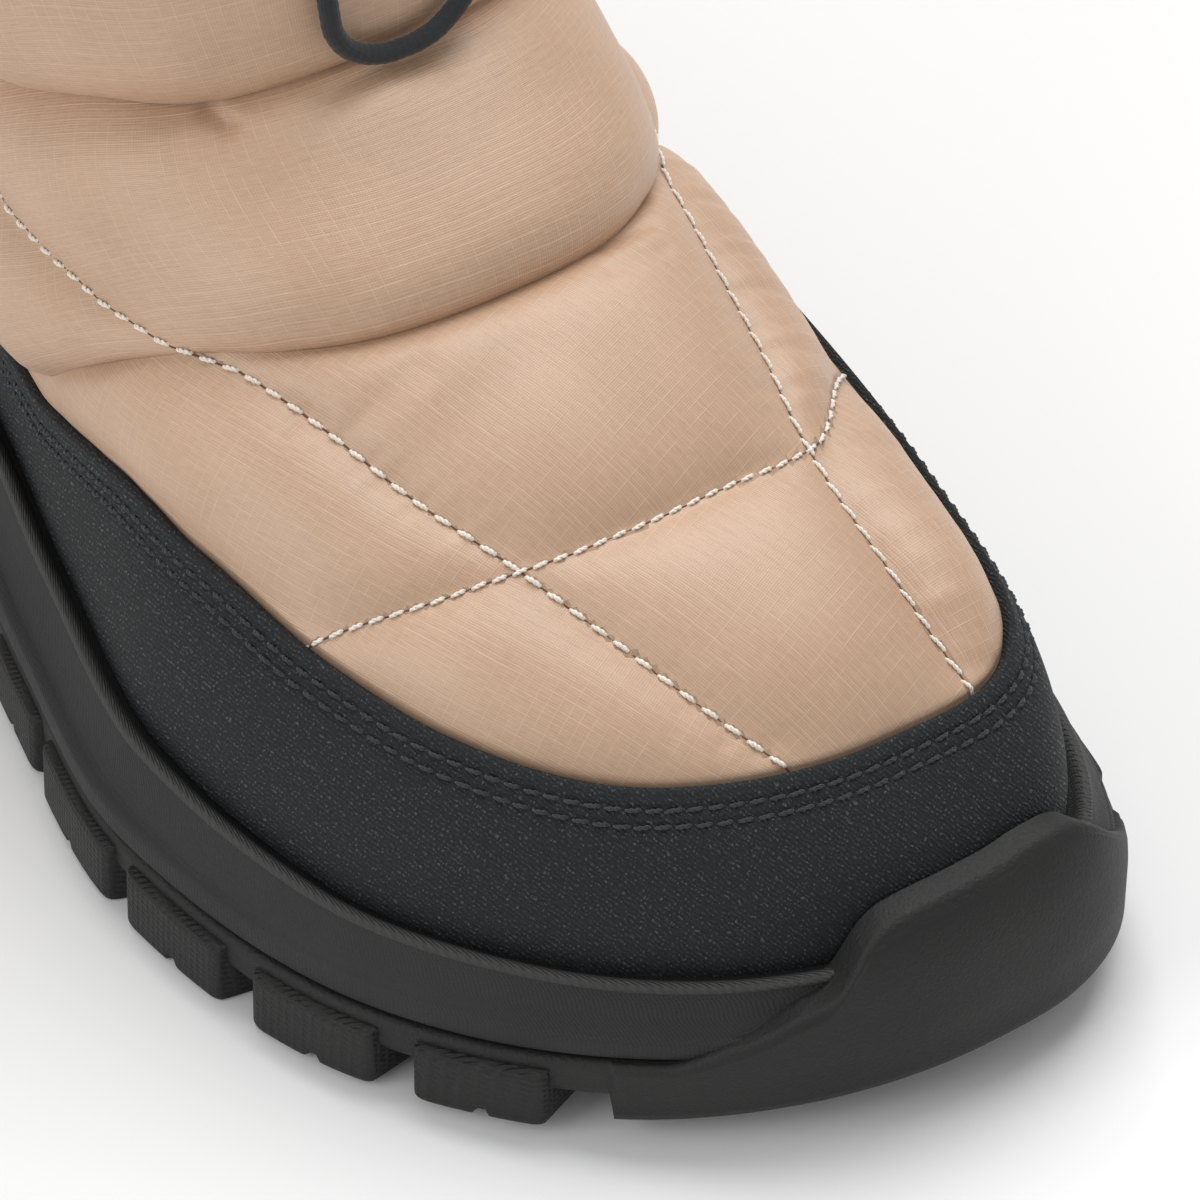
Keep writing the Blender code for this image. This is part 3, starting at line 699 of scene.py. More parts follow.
def make_mesh(name, points, faces, uvs=None):
    """A smooth mesh object from millimetre points, faces and the UVs of its points."""
    mesh = bpy.data.meshes.new(name)
    faces = [tuple(int(k) for k in dict.fromkeys(face)) for face in faces]
    mesh.from_pydata(place(points).tolist(), [], faces)
    if uvs is not None:
        layer = mesh.uv_layers.new(name="weave")
        corner = np.zeros(len(mesh.loops), dtype=np.int32)
        mesh.loops.foreach_get("vertex_index", corner)
        layer.data.foreach_set("uv", np.asarray(uvs)[corner].astype(np.float32).ravel())
    mesh.polygons.foreach_set("use_smooth", np.ones(len(mesh.polygons), dtype=bool))
    made = bpy.data.objects.new(name, mesh)
    bpy.context.scene.collection.objects.link(made)
    return made


def grid_object(name, grid, closed, uvs=None):
    """A mesh object from rows of points."""
    rows, columns = grid.shape[:2]
    faces = grid_faces(rows, columns, closed)
    flat_uvs = None if uvs is None else uvs.reshape(-1, 2)
    return make_mesh(name, grid.reshape(-1, 3), faces, flat_uvs)


def loop_turns(level, count, back_share):
    """Turns of columns along a level, closer together at the front of the boot."""
    fine = np.linspace(0, 1, 1601)
    line = surface(fine, np.full(1601, level))
    step = np.linalg.norm(np.diff(line, axis=0), axis=1)
    middle = (line[1:, 0] + line[:-1, 0]) / 2
    weight = back_share + (1 - back_share) * ease(middle, 110.0, 160.0)
    travel = np.append(0, np.cumsum(step * weight))
    return np.interp(np.arange(count) / count * travel[-1], travel, fine)


def ring_uvs(grid):
    """UVs in millimetres along and up a closed grid, measured from its front."""
    ahead = np.roll(grid, -1, axis=1)
    step = np.linalg.norm(ahead - grid, axis=-1)
    along = np.concatenate([np.zeros((len(grid), 1)), np.cumsum(step, axis=1)[:, :-1]], axis=1)
    length = step.sum(axis=1, keepdims=True)
    along = np.where(along > length / 2, along - length, along)
    up = np.linalg.norm(np.diff(grid, axis=0), axis=-1)
    height = np.concatenate([np.zeros((1, grid.shape[1])), np.cumsum(up, axis=0)], axis=0)
    return np.stack([along, height], axis=-1)


class Looks:
    """A material under construction: adds shader nodes and links them."""

    def __init__(self, name):
        self.material = bpy.data.materials.new(name)
        self.material.use_nodes = True
        self.tree = self.material.node_tree
        self.shader = self.tree.nodes["Principled BSDF"]

    def put(self, value, socket):
        """Link a socket, or set a number or a colour."""
        if isinstance(value, bpy.types.NodeSocket):
            self.tree.links.new(value, socket)
        elif isinstance(value, tuple):
            socket.default_value = (*value, 1.0)
        else:
            socket.default_value = value

    def math(self, operation, first, second=0.0, third=0.0):
        node = self.tree.nodes.new("ShaderNodeMath")
        node.operation = operation
        for socket, value in zip(node.inputs, (first, second, third)):
            self.put(value, socket)
        return node.outputs[0]

    def times(self, first, second):
        return self.math("MULTIPLY", first, second)

    def total(self, base, *parts):
        """Base plus each value times its weight."""
        for value, weight in parts:
            base = self.math("MULTIPLY_ADD", value, weight, base)
        return base

    def wave(self, value, pitch):
        return self.math("SINE", self.times(value, TAU / pitch))

    def split(self, vector):
        """The three parts of a vector."""
        node = self.tree.nodes.new("ShaderNodeSeparateXYZ")
        self.tree.links.new(vector, node.inputs[0])
        return node.outputs

    def attribute(self, name):
        """A value kept on the mesh's points."""
        node = self.tree.nodes.new("ShaderNodeAttribute")
        node.attribute_name = name
        return node.outputs["Fac"]

    def band(self, value, low, high):
        """Smooth map of a value to zero at low and one at high."""
        node = self.tree.nodes.new("ShaderNodeMapRange")
        node.interpolation_type = "SMOOTHSTEP"
        self.put(value, node.inputs["Value"])
        node.inputs["From Min"].default_value = low
        node.inputs["From Max"].default_value = high
        return node.outputs["Result"]

    def uv(self):
        """The mesh's weave coordinates in millimetres, as two sockets."""
        node = self.tree.nodes.new("ShaderNodeUVMap")
        node.uv_map = "weave"
        return self.split(node.outputs["UV"])[:2]

    def point(self, scale=1000.0):
        """Place on the boot, in millimetres."""
        node = self.tree.nodes.new("ShaderNodeTexCoord")
        grow = self.tree.nodes.new("ShaderNodeVectorMath")
        grow.operation = "SCALE"
        self.tree.links.new(node.outputs["Object"], grow.inputs[0])
        grow.inputs["Scale"].default_value = scale
        return grow.outputs[0]

    def vector(self, x, y, z=0.0):
        node = self.tree.nodes.new("ShaderNodeCombineXYZ")
        for socket, value in zip(node.inputs, (x, y, z)):
            self.put(value, socket)
        return node.outputs[0]

    def noise(self, where, scale, detail=2.0, roughness=0.5):
        node = self.tree.nodes.new("ShaderNodeTexNoise")
        self.put(where, node.inputs["Vector"])
        node.inputs["Scale"].default_value = scale
        node.inputs["Detail"].default_value = detail
        node.inputs["Roughness"].default_value = roughness
        return node.outputs["Fac"]

    def ramp(self, value, stops):
        """Colour ramp through (position, colour) stops."""
        node = self.tree.nodes.new("ShaderNodeValToRGB")
        self.put(value, node.inputs["Fac"])
        elements = node.color_ramp.elements
        while len(elements) < len(stops):
            elements.new(0.5)
        for element, (position, colour) in zip(elements, stops):
            element.position = position
            element.color = (*colour, 1.0)
        return node.outputs["Color"]

    def mix(self, share, first, second):
        """Mix of two colours."""
        node = self.tree.nodes.new("ShaderNodeMix")
        node.data_type = "RGBA"
        self.put(share, node.inputs["Factor"])
        self.put(first, node.inputs["A"])
        self.put(second, node.inputs["B"])
        return node.outputs["Result"]

    def bump(self, height, depth):
        """Bump of a height of zero to one, with a depth in millimetres."""
        node = self.tree.nodes.new("ShaderNodeBump")
        node.inputs["Strength"].default_value = 1.0
        node.inputs["Distance"].default_value = depth * MM
        self.tree.links.new(height, node.inputs["Height"])
        self.tree.links.new(node.outputs["Normal"], self.shader.inputs["Normal"])

    def colour(self, value):
        self.put(value, self.shader.inputs["Base Color"])

    def roughness(self, value):
        self.put(value, self.shader.inputs["Roughness"])

    def sheen(self, weight, roughness):
        self.shader.inputs["Sheen Weight"].default_value = weight
        self.shader.inputs["Sheen Roughness"].default_value = roughness

    def specular(self, level):
        self.shader.inputs["Specular IOR Level"].default_value = level


def linear(red, green, blue):
    """Screen colour of 0 to 255 as linear light."""
    share = np.array([red, green, blue]) / 255
    light = np.where(share <= 0.04045, share / 12.92, ((share + 0.055) / 1.055) ** 2.4)
    return tuple(float(value) for value in light)


RIPSTOP = 1.6
RIPSTOP_HALF = 0.09
RIPSTOP_SWAY = 1.5
HAIR = 0.55
HAIR_HALF = 0.06
THREAD = 0.32


def ripstop_line(looks, across, along, pitch, half):
    """Thicker threads of one direction, uneven in strength from one to the next."""
    number = looks.math("ROUND", looks.math("DIVIDE", across, pitch))
    strength = looks.noise(looks.vector(looks.times(number, 5.3), looks.times(along, 0.17)), 1.0, 2.0)
    line = looks.band(looks.math("PINGPONG", across, pitch / 2), half, half / 4)
    return looks.times(line, looks.band(strength, 0.25, 0.75))


def tan_nylon():
    """Tan ripstop nylon: fine threads and a grid of thicker ones, painted lighter in colour as painted
    highlights on those threads.
    """
    looks = Looks("tan_ripstop")
    u, v = looks.uv()
    plane = looks.vector(u, v)
    sway = looks.noise(plane, 0.045, 1.0)
    u = looks.total(looks.math("ADD", u, -RIPSTOP_SWAY / 2), (sway, RIPSTOP_SWAY))
    v = looks.total(looks.math("ADD", v, RIPSTOP_SWAY / 2), (sway, -RIPSTOP_SWAY))
    # Painted highlight strength: one thread direction is weighted weaker than the other, as if it caught
    # less light.
    warp = looks.times(ripstop_line(looks, u, v, RIPSTOP, RIPSTOP_HALF), 0.75)
    weft = ripstop_line(looks, v, u, RIPSTOP, RIPSTOP_HALF)
    hair = looks.times(ripstop_line(looks, v, u, HAIR, HAIR_HALF), 0.6)
    lines = looks.math("MAXIMUM", looks.math("MAXIMUM", warp, weft), hair)
    threads = looks.total(0.0, (looks.wave(u, THREAD), 0.4), (looks.wave(v, THREAD), 0.6))
    slub = looks.noise(looks.vector(looks.times(u, 0.5), looks.times(v, 3.0)), 1.0, 2.0)
    cloud = looks.noise(plane, 0.06, 2.0)
    weave = looks.total(0.0, (threads, 0.16), (slub, 0.5), (cloud, 0.4))
    tone = looks.ramp(weave, ((0.2, linear(181, 146, 118)), (0.75, linear(205, 171, 143))))
    # Painted highlight: the thicker threads are mixed towards a lighter tan.
    tone = looks.mix(looks.times(lines, 0.5), tone, linear(226, 200, 176))
    looks.colour(tone)
    looks.roughness(looks.total(0.4, (slub, 0.1)))
    looks.specular(0.8)
    looks.sheen(0.12, 0.35)
    looks.bump(looks.total(0.0, (lines, 0.6), (threads, 0.2), (slub, 0.25)), 0.06)
    return looks.material


RIB_PITCH = 0.56
RIB_WANDER = 1.1
KNURL_PITCH = 1.0


def black_textile():
    """Bluish black ribbed twill; its colour is painted lighter on the rib tops and in short glints of yarn
    along them, as painted highlights.
    """
    looks = Looks("black_twill")
    u, v = looks.uv()
    wander = looks.noise(looks.vector(u, v), 0.9, 3.0)
    across = looks.total(looks.math("ADD", v, -RIB_WANDER / 2), (wander, RIB_WANDER))
    rib = looks.band(looks.math("PINGPONG", across, RIB_PITCH / 2), 0.0, RIB_PITCH / 2)
    row = looks.math("FLOOR", looks.math("DIVIDE", across, RIB_PITCH))
    along = looks.total(0.0, (u, 3.6), (row, 3.7))
    yarn = looks.noise(looks.vector(along, looks.times(row, 1.3)), 1.0, 2.0)
    crumb = looks.noise(looks.vector(looks.times(u, 2.6), looks.times(v, 2.6)), 1.0, 3.0, 0.6)
    glint = looks.times(looks.band(yarn, 0.48, 0.7), rib)
    height = looks.total(0.0, (rib, 0.2), (glint, 0.3), (crumb, 0.95))
    # Painted highlights: the colour follows the bump height, so rib tops and glints are painted light grey;
    # the crumb part is partly the knit's own mottle and partly painted glints.
    stops = ((0.28, linear(16, 17, 18)), (0.72, linear(34, 36, 38)), (1.0, linear(84, 88, 92)))
    looks.colour(looks.ramp(height, stops))
    looks.roughness(looks.total(0.75, (glint, -0.25)))
    looks.specular(0.35)
    looks.bump(height, 0.32)
    return looks.material


def grey_wall():
    """Moulded olive grey wall with a fine woven emboss and a twisted cord pattern on its bead."""
    looks = Looks("moulded_wall")
    u, v = looks.uv()
    bead = looks.attribute("bead")
    hatch = looks.wave(looks.total(u, (v, 0.35)), 0.6)
    counter = looks.wave(looks.total(v, (u, -0.2)), 0.5)
    twist = looks.times(bead, looks.wave(looks.total(u, (v, 0.8)), 1.0))
    grain = looks.noise(looks.point(), 2.2, 3.0, 0.6)
    patches = looks.noise(looks.point(), 0.06, 2.0)
    tone = looks.ramp(patches, ((0.3, linear(33, 33, 34)), (0.7, linear(39, 38, 38))))
    looks.colour(looks.mix(looks.times(bead, 0.7), tone, linear(66, 66, 65)))
    looks.roughness(looks.total(0.5, (grain, 0.2)))
    looks.specular(0.4)
    looks.bump(looks.total(0.0, (hatch, 0.16), (counter, 0.08), (twist, 0.5), (grain, 0.6)), 0.13)
    return looks.material


def black_rubber(name, knurl):
    """Fine grained matt rubber; knurl adds the woven emboss of the lug faces."""
    looks = Looks(name)
    place_mm = looks.point()
    grain = looks.noise(place_mm, 1.9, 3.0, 0.65)
    patches = looks.noise(place_mm, 0.05, 2.0)
    x, y, z = looks.split(place_mm)
    level = looks.wave(looks.total(z, (x, 0.1)), KNURL_PITCH)
    upright = looks.wave(looks.total(x, (y, -0.6)), KNURL_PITCH)
    height = looks.total(grain, (looks.math("MAXIMUM", level, upright), knurl))
    looks.colour(looks.ramp(patches, ((0.3, linear(24, 23, 23)), (0.7, linear(31, 30, 29)))))
    looks.roughness(looks.total(0.48, (grain, 0.2)))
    looks.specular(0.4)
    looks.bump(height, 0.2)
    return looks.material


def white_thread():
    """Cream quilting thread."""
    looks = Looks("cream_thread")
    fibre = looks.noise(looks.point(), 4.0, 2.0)
    looks.colour(looks.ramp(fibre, ((0.3, linear(222, 212, 198)), (0.7, linear(250, 246, 238)))))
    looks.roughness(looks.total(0.45, (fibre, 0.2)))
    looks.bump(fibre, 0.05)
    return looks.material


def plain_fibre(name, low, high, scale, depth):
    """Matt fibre material between two tones."""
    looks = Looks(name)
    fibre = looks.noise(looks.point(), scale, 3.0, 0.6)
    looks.colour(looks.ramp(fibre, ((0.3, low), (0.7, high))))
    looks.roughness(looks.total(0.7, (fibre, 0.2)))
    looks.sheen(0.2, 0.5)
    looks.bump(fibre, depth)
    return looks.material


def finish_piece(piece, material, slot, *nodes):
    """Give a piece its material and tie it to the boot."""
    piece.data.materials.append(material)
    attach(piece, "root")
    if nodes:
        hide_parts(*nodes)
    return piece


def aimed(made, right, back, spot):
    """Link an object and set it at a spot, with its axes to the right and back."""
    bpy.context.scene.collection.objects.link(made)
    matrix = np.eye(4)
    matrix[:3] = np.column_stack([right, np.cross(back, right), back, spot])
    made.matrix_world = matrix.T.tolist()
    return made


def add_camera():
    """The photo's view of the boot."""
    data = bpy.data.cameras.new("camera")
    data.sensor_fit = "HORIZONTAL"
    data.sensor_width = SENSOR_WIDTH
    data.lens = SENSOR_WIDTH * FOCAL_PIXELS / PHOTO_WIDTH
    data.clip_end = 20.0
    level = np.cos(CAMERA_TILT)
    back = np.array([np.cos(CAMERA_TURN) * level, -np.sin(CAMERA_TURN) * level, np.sin(CAMERA_TILT)])
    right = np.array([np.sin(CAMERA_TURN), np.cos(CAMERA_TURN), 0.0])
    spot = place(np.array(CAMERA_TARGET) + back * CAMERA_DISTANCE)
    bpy.context.scene.camera = aimed(bpy.data.objects.new("camera", data), right, back, spot)


def add_light(name, spot, target, size, power):
    """A square soft box that looks at a point."""
    data = bpy.data.lights.new(name, "AREA")
    data.size = size
    data.energy = power
    back = unit(np.array(spot) - np.array(target))
    right = unit(np.cross((0.0, 0.0, 1.0), back))
    aimed(bpy.data.objects.new(name, data), right, back, spot)


def add_studio():
    """Pale floor, soft light all round and soft boxes."""
    world = bpy.data.worlds.new("studio")
    world.use_nodes = True
    sky = world.node_tree.nodes["Background"]
    sky.inputs["Color"].default_value = (1.0, 1.0, 1.0, 1.0)
    sky.inputs["Strength"].default_value = SKY_STRENGTH
    bpy.context.scene.world = world
    bpy.context.scene.view_settings.view_transform = "Standard"
    for row in SOFT_BOXES:
        add_light(*row)
    half = FLOOR_HALF
    mesh = bpy.data.meshes.new("floor")
    corners = [(-half, -half, 0.0), (half, -half, 0.0), (half, half, 0.0), (-half, half, 0.0)]
    mesh.from_pydata(corners, [], [(0, 1, 2, 3)])
    floor = bpy.data.objects.new("floor", mesh)
    bpy.context.scene.collection.objects.link(floor)
    looks = Looks("pale_floor")
    tint = looks.noise(looks.point(1.0), 3.0, 1.0)
    looks.colour(looks.ramp(tint, ((0.0, (0.89, 0.89, 0.89)), (1.0, (0.91, 0.91, 0.91)))))
    looks.roughness(0.9)
    looks.specular(0.1)
    mesh.materials.append(looks.material)


def even_path(points, count):
    """Points spaced evenly along a smooth curve through the given ones."""
    points = np.asarray(points, dtype=float)
    travel = travelled(points)
    table = np.column_stack([travel, points])
    fine = np.linspace(0, travel[-1], 2000)
    dense = np.column_stack([curve(table, 1 + axis, fine) for axis in range(3)])
    length = travelled(dense)
    return between(np.linspace(0, length[-1], count), length, dense)


def tube(path, radius, sides, wave=None):
    """Grid of a tube along a path; its rings keep their turn as the path bends."""
    ahead = unit(np.gradient(path, axis=0))
    side = np.cross(ahead[0], (0.0, 0.0, 1.0) if abs(ahead[0][2]) < 0.9 else (0.0, 1.0, 0.0))
    travel = travelled(path)
    angle = np.arange(sides) / sides * TAU
    rows = []
    for k, point in enumerate(path):
        side = unit(side - ahead[k] * np.dot(side, ahead[k]))
        other = np.cross(ahead[k], side)
        size = radius if wave is None else radius + wave(travel[k], angle)
        ring = np.cos(angle)[:, None] * side + np.sin(angle)[:, None] * other
        rows.append(point + ring * np.reshape(size, (-1, 1)))
    grid = np.stack(rows)
    uv = np.stack(np.broadcast_arrays(angle[None, :] * radius, travel[:, None]), axis=-1)
    return grid, uv


def build_cord():
    """Loop of round braided cord hanging on the front of the shaft."""
    path = even_path(CORD_PATH, 40)
    fine = even_path(CORD_PATH, 360)

    def braid(travel, angle):
        lay = np.sin(angle * 8 + travel * 2.6) * np.sin(angle * 8 - travel * 2.6)
        return 0.07 * lay - 0.05

    grid, uv = tube(fine, CORD_RADIUS, 48, wave=braid)
    piece = grid_object("drawcord", grid, True, uv)
    material = plain_fibre("black_braid", linear(14, 15, 17), linear(40, 44, 48), 5.0, 0.06)
    finish_piece(piece, material, "black_cord", "drawcord_loop")


# Zones of the vamp: the normal that its cloth is laid out along
VAMP_ZONES = {
    "top": (0.42, 0.0, 0.9),
    "toe": (0.6, 0.05, 0.8),
    "lateral": (0.2, -0.72, 0.66),
    "lateral_toe": (0.5, -0.5, 0.7),
    "medial": (0.2, 0.75, 0.63),
    "medial_toe": (0.55, 0.55, 0.63)}
GRAIN = (0.93, 0.36, -0.1)


def vamp_uvs(points, normals):
    """UVs of the vamp in millimetres: each zone's cloth is laid out along its own normal."""
    lateral = long_seam(points, normals, 1) < 0
    medial = long_seam(points, normals, 2) > 0
    ahead = cross_seam(points, normals) > 0
    uvs = np.zeros(points.shape[:-1] + (2,))
    for name, normal in VAMP_ZONES.items():
        here = ahead if name.endswith("toe") else ~ahead
        if name.startswith("lateral"):
            here = here & lateral
        elif name.startswith("medial"):
            here = here & medial
        else:
            here = here & ~lateral & ~medial
        normal = unit(np.array(normal))
        first = unit(np.array(GRAIN) - np.dot(GRAIN, normal) * normal)
        second = np.cross(normal, first)
        uvs[here] = np.stack([points @ first, points @ second], axis=-1)[here]
    return uvs


def build_vamp(material):
    """Quilted vamp from under the rand's edge to the fold."""
    turns = loop_turns(1.3, 600, 0.3)
    share = np.linspace(0, 1, 146)
    levels = 0.9 + 1.1 * (share + 0.06 * np.sin(TAU * share) / TAU)
    points = surface(turns[None, :], levels[:, None])
    normals = outward(points)
    shown = points + normals * vamp_form(points, normals)[..., None]
    piece = grid_object("vamp", shown, True, vamp_uvs(points, normals))
    finish_piece(piece, material, "tan_nylon", "upper")


def panel_levels(low, high, rows):
    """Levels of a panel's rows, closer together at both seams."""
    share = np.linspace(0, 1, rows)
    share = share - 0.7 * np.sin(TAU * share) / TAU
    return low + (high - low) * share


def build_panel(name, low, high, columns, rows, form, drop, material):
    """A quilted panel between two seams, hanging over the lower one."""
    turns = loop_turns((low + high) / 2, columns, 0.55)
    levels = panel_levels(low, high, rows)
    points = surface(turns[None, :], levels[:, None])
    normals = outward(points)
    shown = points + normals * form(points, normals)[..., None]
    lower = hang(points, normals, low, drop, HANG_REACH)
    if name == "instep":
        ahead = ease(points[..., 0], *INSTEP_SIDES)
        lower = lower * (INSTEP_BACK_HANG + (1 - INSTEP_BACK_HANG) * ahead)[..., None]
    shown = shown + lower
    piece = grid_object(name, shown, True, ring_uvs(points))
    finish_piece(piece, material, "tan_nylon")
    return points[-1], normals[-1]


def build_collar(line, normals, material):
    """Rolled edge of the collar, from the outside to the lining."""
    rows = []
    for angle in np.linspace(0, np.pi, 12):
        out = WALL / 2 * (np.cos(angle) - 1)
        ring = line + normals * out
        ring[:, 2] = line[:, 2] + COLLAR_ROLL * np.sin(angle)
        rows.append(ring)
    for depth in (2.0, 4.0, 6.0, 8.0):
        ring = line - normals * (WALL + FACING_LEAN * depth)
        ring[:, 2] = ring[:, 2] - depth
        rows.append(ring)
    grid = np.stack(rows)
    piece = grid_object("collar_edge", grid, True, ring_uvs(grid))
    finish_piece(piece, material, "tan_nylon")


def build_lining(material):
    """Fleece inside of the upper, from under the collar to the insole."""
    turns = loop_turns(3.0, 240, 0.8)
    levels = np.linspace(0.12, 4.87, 90)
    points = surface(turns[None, :], levels[:, None])
    normals = outward(points)
    depth = WALL - LINING_THICKNESS + LINING_LUMPS * lumps(points * 1.4)
    inner = points - normals * depth[..., None]
    piece = grid_object("lining", inner[:, ::-1], True)
    finish_piece(piece, material, "dark_felt")


def rib_uvs(points):
    """UVs of the rand in millimetres, along and across the ribs of its cloth."""
    across = np.array([-0.148, 0.811, 0.566])
    along = np.array([0.78, 0.45, -0.43])
    return np.stack([points @ along, points @ across], axis=-1)


def build_rand(material):
    """Textile rand with a stitched, rounded top edge."""
    turns = loop_turns(0.6, 640, 0.45)
    levels = np.concatenate([np.linspace(0.0, 0.9, 56), np.linspace(0.9, 0.96, 12)[1:]])
    points = surface(turns[None, :], levels[:, None])
    normals = outward(points)
    below = -level_seam(points, normals, 1)
    out = np.full(points.shape[:2], GAP + RAND_THICKNESS)
    for row in RAND_STITCH_ROWS:
        out = out - RAND_STITCH_DENT * np.exp(-((below - row) / RAND_STITCH_HALF) ** 2)
    out = out + RAND_LUMPS * lumps(points * 1.1)
    outer = points + normals * out[..., None]
    outer[0, :, 2] = points[0, :, 2]
    rows = list(outer)
    edge = points[-1]
    edge_normal = normals[-1]
    upward = unit(points[-1] - points[-2])
    half = RAND_THICKNESS / 2
    for angle in np.linspace(0.15, 0.5, 6) * np.pi:
        out = GAP + half + half * np.cos(angle)
        rows.append(edge + edge_normal * out + upward * (RAND_EDGE * np.sin(angle)))
    rows.append(edge + edge_normal * (GAP + 0.1) + upward * 0.5)
    grid = np.stack(rows)
    piece = grid_object("rand_cloth", grid, True, rib_uvs(grid))
    finish_piece(piece, material, "black_textile", "rand")


def toe_share(x):
    """Zero behind the ball, one at the tip of the toe."""
    return np.clip((x - BALL) / (NOSE_TIP - BALL), 0, 1)


def sole_side(x):
    """Offset of the sole's side from the feather line."""
    return SOLE_MARGIN + TOE_MARGIN * toe_share(x)


def ledge_share(x):
    """The ledge along the midsole fades out towards the toe."""
    return np.clip((LEDGE_END - x) / LEDGE_FADE, 0, 1)


# Wall of the midsole: offset out from the feather line, share of the wall height, share of the ledge
WALL_ROWS = np.array([
    (5.0, 0.00, 0.0),
    (7.6, 0.005, 0.3),
    (8.5, 0.04, 0.7),
    (8.6, 0.10, 1.0),
    (8.5, 0.20, 1.0),
    (8.3, 0.28, 1.0),
    (8.0, 0.325, 0.5),
    (7.75, 0.35, 0.0),
    (7.5, 0.40, 0.0),
    (6.9, 0.50, 0.0),
    (6.35, 0.60, 0.0),
    (5.95, 0.70, 0.0),
    (5.6, 0.78, 0.0),
    (5.3, 0.85, 0.0),
    (5.05, 0.905, 0.0),
    (5.0, 0.925, 0.0),
    (5.15, 0.94, 0.0),
    (5.35, 0.96, 0.0),
    (5.4, 0.99, 0.0),
    (5.25, 1.03, 0.0),
    (4.9, 1.055, 0.0),
    (4.4, 1.06, 0.0),
    (3.9, 1.04, 0.0),
    (3.3, 0.99, 0.0),
    (2.8, 0.92, 0.0)])


def build_midsole(material):
    """Moulded wall with a ledge and a rolled bead."""
    turns = loop_turns(0.0, 560, 0.5)
    line, out = sole_line(turns)
    x = line[:, 0]
    joint = smooth(SOLE, 3, x) + GAP / 2
    wall = line[:, 2] + 0.8 - joint
    stretch = sole_side(x) / SOLE_MARGIN
    top, bumper = bumper_height(line, turns)
    table = np.column_stack([np.arange(len(WALL_ROWS)), WALL_ROWS])
    rows = []
    beads = []
    for step in np.linspace(0, len(WALL_ROWS) - 1, 73):
        offset = float(curve(table, 1, np.array(step)))
        share = float(curve(table, 2, np.array(step)))
        ledge = float(curve(table, 3, np.array(step)))
        grow = 1 + (stretch - 1) * (1 - ease(share, 0.3, 0.8))
        z = joint + share * wall
        reach = offset * grow + LEDGE * ledge * ledge_share(x)
        deep = np.clip((line[:, 2] - z) / WALL_DROP, 0, 1)
        behind = GAP + RAND_THICKNESS + POCKET_GAP + POCKET_SLANT * deep
        reach = np.where(bumper, behind + (reach - behind) * ease(z - top, *POCKET_EDGE), reach)
        ring = line + out * reach[:, None]
        ring[:, 2] = z
        rows.append(ring)
        beads.append(float(ease(share, 0.915, 0.94)))
    uvs = ring_uvs(np.stack(rows))
    piece = make_mesh("midsole_wall", *capped(rows), uvs.reshape(-1, 2))
    on_bead = piece.data.attributes.new("bead", "FLOAT", "POINT")
    on_bead.data.foreach_set("value", np.repeat(beads, len(turns)).astype(np.float32))
    finish_piece(piece, material, "grey_wall", "midsole")


def bumper_height(line, turns):
    """Height of the outsole's top edge: the joint, or the bumper's edge round the toe."""
    joint = smooth(SOLE, 3, line[:, 0]) - GAP / 2
    signed = np.where(turns > 0.5, turns - 1, turns)
    here = (signed > BUMPER_FIRST_TURN) & (signed < BUMPER_LAST_TURN)
    top = smooth(BUMPER_TOP, 1, line[:, 1])
    return np.where(here, np.maximum(top, joint), joint), here & (top > joint)


def toe_block(line, turns):
    """One round the toe, where the outsole's side runs down to the floor, else zero."""
    start = np.where(turns > 0.5, TOE_BLOCK_LATERAL, TOE_BLOCK_MEDIAL)
    return ease(line[:, 0] - start, -0.15, 0.15)


def outsole_skin():
    """Points and faces of the outsole's rim, bumper and flat underside."""
    ends = np.array([turn_at(TOE_BLOCK_LATERAL, False), turn_at(TOE_BLOCK_MEDIAL, True)])
    turns = np.sort(np.concatenate([loop_turns(0.0, 560, 0.5), ends - BLOCK_END, ends + BLOCK_END]))
    line, out = sole_line(turns)
    x = line[:, 0]
    block = toe_block(line, turns)
    base = smooth(SOLE, 2, x) * (1 - block) + smooth(SOLE, 1, x) * block
    top, _ = bumper_height(line, turns)
    joint = smooth(SOLE, 3, x) - GAP / 2
    side = sole_side(x) + TOE_PROUD * block
    round_off = 1 + 0.15 * block
    rand_face = GAP + RAND_THICKNESS + BUMPER_GAP

    def leaning(z):
        edge = np.clip((z - joint) / BUMPER_RISE, 0, 1)
        return side - (side - rand_face - BUMPER_EDGE) * edge ** BUMPER_LEAN

    rows = []
    for inset, lift in ((3.0, 0.0), (1.6, 0.2), (0.6, 1.0), (0.0, SOLE_ROUND)):
        ring = line + out * (side - inset * round_off)[:, None]
        ring[:, 2] = base + lift * round_off
        rows.append(ring)
    foot_edge = base + SOLE_ROUND * round_off
    for share in np.linspace(0.0, 1.0, 22):
        z = foot_edge + share * (top - LIP - foot_edge)
        rows.append(wall_point(turns, z, leaning(z)))
    reach = leaning(top)
    for angle in np.linspace(0.07, 0.5, 7) * np.pi:
        rows.append(wall_point(turns, top - LIP + LIP * np.sin(angle), reach - LIP * (1 - np.cos(angle))))
    inside = rand_face + BUMPER_SLANT * np.clip((line[:, 2] - top) / WALL_DROP, 0, 1)
    inside = np.minimum(inside, reach - LIP - 0.5)
    for share in np.linspace(0.0, 1.0, 6):
        z = top + share * (joint - top)
        rows.append(wall_point(turns, z, inside - 0.4 * share))
    return capped(rows)


def turn_at(x, medial):
    """Turn of the sole's outline at station x on one side."""
    turns = np.linspace(0.5, 0.02, 400) if medial else np.linspace(0.5, 0.98, 400)
    line, _ = sole_line(turns)
    return np.interp(x, line[:, 0], turns)


